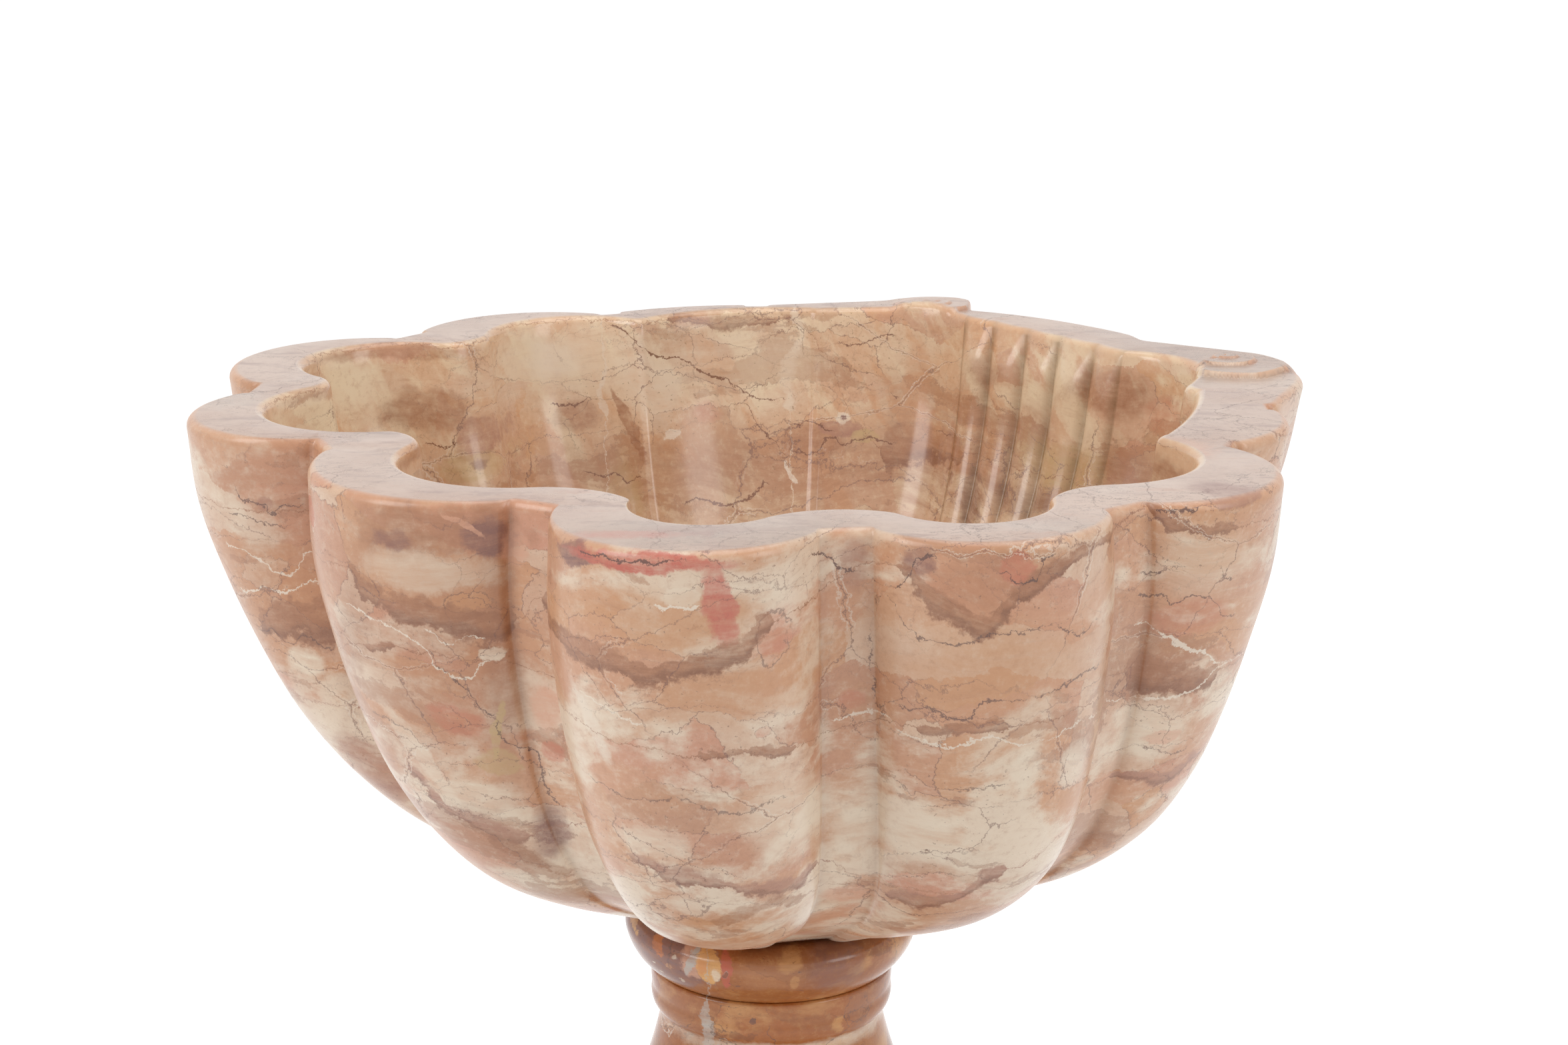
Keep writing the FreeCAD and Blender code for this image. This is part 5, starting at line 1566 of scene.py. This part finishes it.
    def outer_levels(self, count: int) -> list[list[Vector]]:
        """The outside's outlines in space, from the foot up to the arris.

        Args:
            count: How many are wanted.

        Returns:
            The outlines.
        """
        end = self.foot_radius / (self.reach * sum(c.share for c in self.channels)
                                  / len(self.channels))
        wall = self.wall_top - self.foot
        lengths = running(Vector((depth * wall, left * (1 - end) * self.reach))
                          for depth, left, _, _ in self.outer_curve)
        levels = []
        for depth, left, front, side in reversed(smooth_rows(list(self.outer_curve), count,
                                                             lengths)):
            shift = (bearing(FACING + 270) * (self.front_shift * front)
                     + bearing(FACING + 180) * (self.side_shift * side))
            height = self.wall_top - depth * wall
            levels.append([(place + shift).to_3d() + Vector((0, 0, height))
                           for place in self.outer_outline(end + (1 - end) * left, depth)])
        return levels

    def inner_levels(self, count: int) -> list[list[Vector]]:
        """The hollow's outlines in space, from the arris down to the floor.

        Args:
            count: How many are wanted.

        Returns:
            The outlines.
        """
        end = self.floor_radius / self.inner_reach
        wall = self.wall_top - self.floor
        lengths = running(Vector((depth * wall, left * (1 - end) * self.inner_reach))
                          for depth, left in self.inner_curve)
        levels = []
        for depth, left in smooth_rows(list(self.inner_curve), count, lengths):
            grown = min(1.0, (depth * wall + self.arris) / self.reed_start)
            fading = min(1.0, (1 - depth) * 4 + 0.15)
            height = self.wall_top - depth * wall
            levels.append([place.to_3d() + Vector((0, 0, height)) for place in
                           self.inner_outline(end + (1 - end) * left,
                                              self.reed_bulge * grown * fading)])
        return levels

    def rings(self) -> tuple[list[list[Vector]], list[list[Vector]], dict[str, list[float]]]:
        """All the bowl's rings, from the drain up the outside, and from the rim into the hollow.

        Returns:
            The rings outside, those inside, and for each named mark its strength on each ring.
        """
        outer = self.outer_levels(self.outer_rings)
        inner = self.inner_levels(self.inner_rings)
        bulge = self.reed_bulge * self.arris / self.reed_start
        outer_round, inner_round = [], []
        for number in range(1, self.arris_rings + 1):
            angle = math.pi / 2 * number / self.arris_rings
            inset = self.arris * (1 - math.cos(angle))
            height = Vector((0, 0, self.wall_top + self.arris * math.sin(angle)))
            outer_round.append([p.to_3d() + height for p in
                                self.outer_outline(1 - inset / self.reach, 0.0)])
            inner_round.append([p.to_3d() + height for p in
                                self.inner_outline(1 + inset / self.inner_reach, bulge)])
        inner_round.reverse()
        foot = outer[0]
        drain = [self.around(p, self.drain_radius, self.foot) for p in foot]
        floor_edge = inner[-1]
        recess = [self.around(p, self.recess_radius, self.floor) for p in floor_edge]
        below = [Vector((p.x, p.y, self.floor - self.recess_depth)) for p in recess]
        throat = [self.around(p, self.drain_radius, self.floor - self.recess_depth)
                  for p in floor_edge]
        under = [[a.lerp(b, number / 4) for a, b in zip(drain, foot)] for number in range(4)]
        floor = [[a.lerp(b, number / 3) for a, b in zip(floor_edge, recess)]
                 for number in (1, 2, 3)]
        outside = under + outer + outer_round
        inside = inner_round + inner[1:] + floor + [below, throat]
        for ring in outside + inside:
            for place in ring:
                self.lift(place)
        marks = {}
        for name, row in (("top", self.arris_sheen), ("worn", self.arris_side_shade)):
            plain = len(outside) + self.arris_rings - len(row)
            marks[name] = [0.0] * plain + list(row) + [0.0] * (len(inside) - self.arris_rings)
        return outside, inside, marks

    def raised(self, place: Vector, ease: float) -> float:
        """How far the hinge's carving stands over the rim.

        Args:
            place: The place in the plan.
            ease: How wide the carving's steps are.

        Returns:
            The height over the rim, less than 0 where the stone is cut away round the coil.
        """
        right, left = self.volute_right, self.volute_left
        stands = right.share(place, ease)
        away = (place - Vector(right.middle)).length
        strip = eased((place.x - self.strip_ends[0]) / (self.strip_ends[1] - self.strip_ends[0]))
        sunk = 1 - eased((away - self.sink_reach[0]) / (self.sink_reach[1] - self.sink_reach[0]))
        height = stands * strip * self.strip_rise - (1 - stands) * sunk * self.sink
        height += left.share(place, ease) * self.disc_rise
        for volute in (right, left):
            height += volute.coiled(place, ease) * volute.rise
        return height

    def steepness(self, place: Vector) -> Point:
        """How steep the carving is at a place, and how much of a crease it is in.

        Args:
            place: The place on the rim.

        Returns:
            Both, from 0 to 1.
        """
        flat = place.to_2d()
        round_it = [self.raised(flat + Vector(way) * self.probe, self.crisp_ease)
                    for way in ((1, 0), (-1, 0), (0, 1), (0, -1))]
        slope = (math.hypot(round_it[0] - round_it[1], round_it[2] - round_it[3])
                 / (2 * self.probe))
        crease = (sum(round_it) / 4 - self.raised(flat, self.crisp_ease)) / self.full_crease
        return min(slope / self.full_slope, 1.0), min(max(crease, 0.0), 1.0)

    def lift(self, place: Vector) -> None:
        """Move a place of the hinge's walls up with the carving over it.

        Args:
            place: The place, which is changed.
        """
        low, high = (self.rim - end for end in self.lift_ends)
        if place.y > self.hinge_start and place.z > low:
            share = eased((place.z - low) / (high - low))
            place.z += self.raised(place.to_2d(), self.wall_ease) * share

    def net(self, outer: list[Vector], inner: list[Vector]) -> list[Vector]:
        """Places in the plan, close together, where the rim's top is carved.

        Args:
            outer: The top's outer outline.
            inner: Its inner outline.

        Returns:
            The places that are clear of both.
        """
        places = []
        cell = self.net_cell
        for volute in (self.volute_right, self.volute_left):
            middle = Vector(volute.middle)
            reach = int(volute.net / cell)
            open_at = {}
            for row in range(-reach, reach + 1):
                level = middle.y + row * cell
                lines = [crossings(ring, level) for ring in (outer, inner)]
                for column in range(-reach, reach + 1):
                    across = middle.x + column * cell
                    inside = [sum(line < across for line in found) % 2 for found in lines]
                    open_at[row, column] = inside == [1, 0]
            for (row, column), clear in open_at.items():
                near = [open_at.get((row + up, column + side), False)
                        for up, side in ((1, 0), (-1, 0), (0, 1), (0, -1))]
                if clear and all(near) and math.hypot(row, column) < reach:
                    places.append(middle + Vector((column, row)) * cell)
        return places

    def top(self, outer: list[Vector], inner: list[Vector]) -> tuple[list[Vector],
                                                                     list[tuple[int, ...]]]:
        """The rim's flat top between two rings.

        Args:
            outer: The ring outside.
            inner: The ring inside.

        Returns:
            The places between the rings, and the triangles. A triangle's numbers count the outer
            ring first, then the inner one and then the places between.
        """
        rings = [[place.to_2d() for place in ring] for ring in (outer, inner)]
        count = len(outer)
        edges = [(start + number, start + (number + 1) % count)
                 for start in (0, count) for number in range(count)]
        net = self.net(*rings)
        flat = rings[0] + rings[1] + net
        found, _, triangles, sources, _, _ = delaunay_2d_cdt(flat, edges, [], 1, 1e-8)
        numbers = [source[0] if source else len(flat) + extra
                   for extra, source in enumerate(sources)]
        between_rings = [self.carved(place) for place in net]
        added = {}
        kept = []
        for triangle in triangles:
            corners = tuple(numbers[corner] for corner in triangle)
            if all(count <= corner < 2 * count for corner in corners):
                middle = sum((found[corner] for corner in triangle), Vector((0.0, 0.0))) / 3
                if sum(line < middle.x for line in crossings(rings[1], middle.y)) % 2:
                    continue
            for corner, place in zip(corners, (found[number] for number in triangle)):
                if corner >= len(flat) and corner not in added:
                    added[corner] = len(flat) + len(added)
                    between_rings.append(self.carved(place))
            corners = tuple(added.get(corner, corner) for corner in corners)
            a, b, c = (found[number] for number in triangle)
            turned = (b - a).cross(c - a)
            kept.append(corners if turned > 0 else corners[::-1])
        return between_rings, kept

    def carved(self, place: Vector) -> Vector:
        """The place on the carved rim over a place in the plan."""
        return Vector((*place, self.rim + self.raised(place, self.crisp_ease)))

    @staticmethod
    def around(place: Vector, radius: float, height: float) -> Vector:
        """The place on a circle that has the bearing of another place."""
        return Vector((*(place.to_2d().normalized() * radius), height))

    def shade_row(self) -> tuple[list[float], list[float]]:
        """How much painted shade each place round the outside and round the inside takes, in the
        corners.

        Returns:
            The painted shade round the outside, and round the inside.
        """
        lobe = [0.0] * self.lobe_places
        outer = [*self.channel_shade, *lobe] * len(self.lobes) + list(self.channel_shade)
        flute_right, reeds, flute_left = (sum(self.hinge_places[:2]), self.hinge_places[2],
                                          sum(self.hinge_places[3:]))
        places = reeds // self.reed_count
        reed = [max(0.0, 1 - min(n, places - n) / 4) for n in range(places)]
        inner = ([0.0] * (len(outer) + flute_right) + reed * self.reed_count
                 + [1.0] + [0.0] * (flute_left - 1))
        return outer + [0.0] * sum(self.hinge_places), inner

    def bowl(self) -> bpy.types.Object:
        """The marble bowl in one closed skin.

        Returns:
            The dressed bowl.
        """
        outside, inside, marks = self.rings()
        rings = outside + inside
        across = len(rings[0])
        edge = len(outside) - 1
        net, triangles = self.top(outside[edge], inside[0])
        corners = [place for ring in rings for place in ring]
        faces = [(level * across + number, level * across + after,
                  following * across + after, following * across + number)
                 for level, following in pairwise((*range(len(rings)), 0)) if level != edge
                 for number, after in pairwise((*range(across), 0))]
        start, between_start = edge * across, len(corners) - 2 * across
        faces += [tuple(corner + (start if corner < 2 * across else between_start)
                        for corner in triangle) for triangle in triangles]
        piece = meshed("shell_bowl", corners + net, faces)
        for material in (self.marble, self.inner_marble):
            piece.data.materials.append(material)
        for number in range(start, (len(rings) - 2) * across):
            piece.data.polygons[number].material_index = 1
        slopes = [self.steepness(place) for place in net]
        # Painted shade in the creases of the carving on the rim
        crease_shading = [crease for _, crease in slopes]
        rows = [grime for grime, part in zip(self.shade_row(), (outside, inside)) for _ in part]
        deep = self.rim - self.shade_start
        # The first mark paints the rim's pale reflection, which steep carving loses, and the
        # second paints shade on the steep carving
        values = {
            "top": [mark for mark in marks["top"] for _ in range(across)]
            + [1 - self.steep_share * steep for steep, _ in slopes],
            "worn": [mark for mark in marks["worn"] for _ in range(across)]
            + [steep for steep, _ in slopes],
            "grime": [grime * (1.0 if place.z < deep else self.top_shade)
                      for row, ring in zip(rows, rings) for grime, place in zip(row, ring)]
            + crease_shading}
        for name, numbers in values.items():
            piece.data.attributes.new(name, "FLOAT", "POINT").data.foreach_set("value", numbers)
        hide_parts("bowl")
        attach(piece, "root")
        return piece


@dataclass(frozen=True)
class Corner:
    """A corner of a turned outline: radius, height, and the swell of the edge that leads to it."""

    radius: float
    height: float
    swell: float = 0.0


@dataclass
class Pedestal:
    """The stones under the bowl, and the joints between them."""

    marble: bpy.types.Material
    bedding: bpy.types.Material
    bore: float = 0.028
    turning_steps: int = 120
    edge: float = 0.0006
    swell_leg: float = 0.0028
    weld: float = 0.00002
    plinth_width: float = 0.296
    plinth_height: float = 0.062
    plinth_chamfer: float = 0.005
    socket_radius: float = 0.050
    socket_depth: float = 0.038
    overcut: float = 0.01
    collar_outline: tuple[Corner, ...] = (
        Corner(0.037, 0.5225), Corner(0.0712, 0.5225), Corner(0.0718, 0.5215),
        Corner(0.0742, 0.5215), Corner(0.0915, 0.5465, 0.0030), Corner(0.0850, 0.5580, 0.0026),
        Corner(0.0750, 0.5605, 0.0006), Corner(0.037, 0.5605))
    shaft_outline: tuple[Corner, ...] = (
        Corner(0.028, 0.143), Corner(0.076, 0.143), Corner(0.076, 0.159), Corner(0.0685, 0.159),
        Corner(0.0685, 0.171, 0.0055), Corner(0.061, 0.171), Corner(0.061, 0.180),
        Corner(0.094, 0.274, -0.0035), Corner(0.0945, 0.417, 0.018),
        Corner(0.0702, 0.487, -0.0022), Corner(0.0702, 0.491), Corner(0.0752, 0.507, 0.0026),
        Corner(0.0757, 0.5197, 0.0004), Corner(0.0743, 0.5212), Corner(0.0710, 0.5210),
        Corner(0.033, 0.521), Corner(0.033, 0.487), Corner(0.028, 0.487))
    base_outline: tuple[Corner, ...] = (
        Corner(0.028, 0.0635), Corner(0.118, 0.0635), Corner(0.118, 0.0995, 0.014),
        Corner(0.114, 0.0995), Corner(0.114, 0.1055), Corner(0.088, 0.1315, -0.0065),
        Corner(0.088, 0.1415), Corner(0.028, 0.1415))

    def outline_places(self, corners: tuple[Corner, ...]) -> list[Point]:
        """The outline's places, with each swelling edge as an arc.

        Args:
            corners: The outline's corners.

        Returns:
            The places.
        """
        places: list[Point] = []
        for number, corner in enumerate(corners):
            start, end = (Vector((at.radius, at.height)) for at in (corners[number - 1], corner))
            if number and corner.swell:
                along = (end - start).normalized()
                middle = (start + end) / 2 + Vector((along.y, -along.x)) * corner.swell
                count = max(8, int((end - start).length / self.swell_leg))
                places += [(p.x, p.y) for p in arc_places(start, middle, end, count)[1:]]
            places.append((end.x, end.y))
        return places

    def turned(self, name: str, corners: tuple[Corner, ...], node: str) -> bpy.types.Object:
        """A stone turned round the axis, with its edges eased.

        Args:
            name: The piece's name.
            corners: Its closed half outline.
            node: The CAD node that it stands for.

        Returns:
            The dressed stone.
        """
        places = self.outline_places(corners)
        piece = primitive(name, bpy.ops.mesh.primitive_plane_add, size=0.002)
        with editing(piece):
            bpy.ops.mesh.merge(type="CENTER")
            bpy.ops.transform.translate(value=(places[0][0], 0.0, places[0][1]))
            for before, after in pairwise(places):
                bpy.ops.mesh.extrude_region_move(TRANSFORM_OT_translate={
                    "value": (after[0] - before[0], 0.0, after[1] - before[1])})
            bpy.ops.mesh.select_all(action="SELECT")
            bpy.ops.mesh.spin(steps=self.turning_steps, angle=2 * math.pi, center=(0, 0, 0),
                              axis=(0, 0, 1))
            bpy.ops.mesh.select_all(action="SELECT")
            bpy.ops.mesh.remove_doubles(threshold=self.weld)
            bpy.ops.mesh.select_all(action="DESELECT")
            select_edges(piece, lambda edge: edge.is_boundary)
            bpy.ops.mesh.bridge_edge_loops()
            bpy.ops.mesh.select_all(action="SELECT")
            bpy.ops.mesh.normals_make_consistent(inside=False)
        self.ease(piece, 34, 40)
        self.finish(piece, node)
        return piece

    def ease(self, piece: bpy.types.Object, least: float, smooth: float) -> None:
        """Round the edges.

        Args:
            piece: The stone.
            least: How far its faces turn at the edges to round, in degrees.
            smooth: How far they turn at the edges that stay sharp to the eye.
        """
        bevel = piece.modifiers.new("eased_edges", "BEVEL")
        bevel.width = self.edge
        bevel.segments = 3
        bevel.limit_method = "ANGLE"
        bevel.angle_limit = math.radians(least)
        bpy.ops.object.modifier_apply(modifier=bevel.name)
        bpy.ops.object.shade_smooth_by_angle(angle=math.radians(smooth))

    def finish(self, piece: bpy.types.Object, node: str) -> None:
        """Let a stone stand for its CAD node, and dress it.

        Args:
            piece: The stone.
            node: The CAD node's name.
        """
        # The turned stones carry no painted shade: both marks are zero on them
        for name in ("worn", "grime"):
            layer = piece.data.attributes.new(name, "FLOAT", "POINT")
            layer.data.foreach_set("value", [0.0] * len(piece.data.vertices))
        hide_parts(node)
        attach(piece, "root")
        dress(piece, self.marble)

    def plinth(self) -> bpy.types.Object:
        """The square plinth, with dressed edges and the hollow under it.

        Returns:
            The dressed plinth.
        """
        half = self.plinth_height / 2
        piece = primitive("plinth_stone", bpy.ops.mesh.primitive_cube_add, size=1.0)
        with editing(piece):
            bpy.ops.transform.resize(value=(self.plinth_width, self.plinth_width,
                                            self.plinth_height))
            bpy.ops.transform.translate(value=(0.0, 0.0, half))
            select_edges(piece, lambda edge: max(v.co.z for v in edge.verts) >= half)
            bpy.ops.mesh.bevel(offset=self.plinth_chamfer, segments=1)
        for name, radius, high in (("bore", self.bore, self.plinth_height + self.overcut),
                                   ("socket", self.socket_radius, self.socket_depth)):
            cutter = primitive(name, bpy.ops.mesh.primitive_cylinder_add, vertices=96,
                               radius=radius, depth=high + self.overcut,
                               location=(0.0, 0.0, (high - self.overcut) / 2))
            select_only(piece)
            hole = piece.modifiers.new(name, "BOOLEAN")
            hole.object = cutter
            hole.solver = "EXACT"
            bpy.ops.object.modifier_apply(modifier=hole.name)
            bpy.data.meshes.remove(cutter.data)
        self.ease(piece, 30, 30)
        self.finish(piece, "plinth")
        return piece

    def beds(self) -> None:
        """Dress the joints between the stones."""
        for node in ("bowl_bed", "collar_bed", "shaft_bed", "base_bed"):
            dress(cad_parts[node], self.bedding)


@dataclass
class Fittings:
    """The waste, the pipe, the plug and the pins, which keep their CAD shapes."""

    bright: bpy.types.Material
    dull: bpy.types.Material
    rubber: bpy.types.Material
    bright_nodes: tuple[str, ...] = ("waste_flange", "plug_body", "plug_nut", "pull_ring")
    dull_nodes: tuple[str, ...] = ("slip_washer", "backnut", "union_nut", "waste_pipe",
                                   "bowl_dowels", "collar_dowels", "shaft_dowels",
                                   "base_dowels")
    rubber_nodes: tuple[str, ...] = ("flange_seal", "under_washer", "cone_washer",
                                     "pipe_guides", "plug_seal")

    def dressed(self) -> None:
        """Give each fitting its finish."""
        for nodes, material in ((self.bright_nodes, self.bright), (self.dull_nodes, self.dull),
                                (self.rubber_nodes, self.rubber)):
            for node in nodes:
                dress(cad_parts[node], material)


@dataclass(frozen=True)
class Lamp:
    """A soft box: its name, place, width and height, and power in watts."""

    name: str
    place: tuple[float, float, float]
    size: Point
    power: float


@dataclass
class Studio:
    """The pale floor, the soft lights and the camera."""

    pitch: float = math.radians(14.975)
    lens: float = 73.93
    sensor: float = 36.0
    width: float = 60.0
    distance: float = 1.89315
    aside: float = 0.00803
    height: float = 1.31119
    floor_glow: float = 0.48
    shaded_glow: float = 0.05
    shaded_reach: Point = (0.3, 0.9)
    sky: float = 0.55
    target: float = 0.75
    lamps: tuple[Lamp, ...] = (
        Lamp("left_box", (-0.6, -2.2, 2.2), (1.2, 1.6), 26.0),
        Lamp("right_box", (2.3, 0.5, 1.9), (1.0, 1.6), 14.0),
        Lamp("top_box", (0.2, 0.3, 3.0), (1.8, 1.8), 20.0))

    def camera(self) -> None:
        """The camera, where the photographer stood."""
        right, ahead = (bearing(FACING + quarter).to_3d() for quarter in (0.0, 90.0))
        looking = ahead * math.cos(self.pitch) - Vector((0, 0, 1)) * math.sin(self.pitch)
        above = right.cross(looking)
        data = bpy.data.cameras.new("camera")
        data.lens = self.lens
        data.sensor_width = self.sensor
        data.sensor_fit = "HORIZONTAL"
        data.clip_end = self.width
        camera = bpy.data.objects.new("camera", data)
        bpy.context.scene.collection.objects.link(camera)
        turn = Matrix((right, above, -looking)).transposed().to_4x4()
        camera.matrix_world = Matrix.Translation(
            ahead * -self.distance + right * self.aside + Vector((0, 0, self.height))) @ turn
        bpy.context.scene.camera = camera

    def floor(self) -> None:
        """The pale floor, white to the camera where nothing shades it."""
        floor = primitive("studio_floor", bpy.ops.mesh.primitive_plane_add, size=self.width)
        graph = Graph.named("studio_floor_paint")
        place = graph.place()
        paint = graph.principled(
            Base_Color=graph.mix(graph.noise(place, 40.0) * 0.1, screen(250, 250, 250),
                                 screen(240, 240, 240)), Roughness=0.9)
        away = graph.node("VectorMath", {"operation": "LENGTH"}, {0: place}, "Value")
        near = (*(self.shaded_glow,) * 3, 1.0)
        glow = graph.node("Emission", {}, {
            "Color": graph.mix(graph.step(away, *self.shaded_reach), near, WHITE),
            "Strength": self.floor_glow})
        both = graph.node("AddShader", {}, {0: paint, 1: glow})
        dress(floor, graph.surface(
            graph.node("MixShader", {}, {0: graph.seen(), 1: paint, 2: both})))

    def world(self) -> None:
        """A soft white surround, and plain white to the camera."""
        world = bpy.data.worlds.new("studio")
        bpy.context.scene.world = world
        graph = Graph(world)
        soft, plain = (graph.node("Background", {}, {"Color": WHITE, "Strength": strength})
                       for strength in (self.sky, 1.0))
        graph.surface(graph.node("MixShader", {}, {0: graph.seen(), 1: soft, 2: plain}))

    def lamp(self, box: Lamp) -> None:
        """A soft box that faces the bowl.

        Args:
            box: Its name, place, size and power.
        """
        data = bpy.data.lights.new(box.name, "AREA")
        data.shape = "RECTANGLE"
        data.size, data.size_y = box.size
        data.energy = box.power
        lamp = bpy.data.objects.new(box.name, data)
        bpy.context.scene.collection.objects.link(lamp)
        lamp.location = box.place
        facing = Vector((0, 0, self.target)) - Vector(box.place)
        lamp.rotation_euler = facing.to_track_quat("-Z", "Y").to_euler()

    def built(self) -> None:
        """Set up the whole studio."""
        bpy.context.scene.view_settings.view_transform = "Standard"
        self.camera()
        self.floor()
        self.world()
        for box in self.lamps:
            self.lamp(box)


def main() -> None:
    """Build and dress the basin, piece by piece."""
    logging.basicConfig(level=logging.INFO, format="%(name)s: %(message)s")
    Studio().built()
    log.info("studio ready")
    bowl_marble = Marble("bowl_marble", OUTER_PALETTE, OUTSIDE_BEDS, OUTSIDE_PATCHES,
                         RIM_SHEEN_PALETTE, RIM_PATCHES, pale_more=0.075).made()
    inner_marble = Marble("bowl_marble_inside", INNER_PALETTE, INSIDE_BEDS, INSIDE_PATCHES,
                          RIM_SHEEN_PALETTE, darker_below=(0.84, 0.74), drips=True, roughness=0.16).made()
    pedestal_marble = Marble("pedestal_marble", PEDESTAL_PALETTE, PEDESTAL_BEDS,
                             PEDESTAL_PATCHES, roughness=0.17).made()
    bowl = ShellBowl(bowl_marble, inner_marble)
    log.info("%s: %d corners", "bowl", len(bowl.bowl().data.vertices))
    pedestal = Pedestal(pedestal_marble, Bedding().made())
    for name, outline, node in (("collar_stone", pedestal.collar_outline, "collar"),
                                ("shaft_stone", pedestal.shaft_outline, "baluster_shaft"),
                                ("base_stone", pedestal.base_outline, "turned_base")):
        piece = pedestal.turned(name, outline, node)
        log.info("%s: %d corners", name, len(piece.data.vertices))
    log.info("%s: %d corners", "plinth", len(pedestal.plinth().data.vertices))
    pedestal.beds()
    Fittings(Brass("bright_brass").made(),
             Brass("dull_brass", film=screen(112, 88, 54), roughness=0.4).made(),
             Rubber().made()).dressed()
    log.info("fittings dressed")


if __name__ == "__main__":
    main()
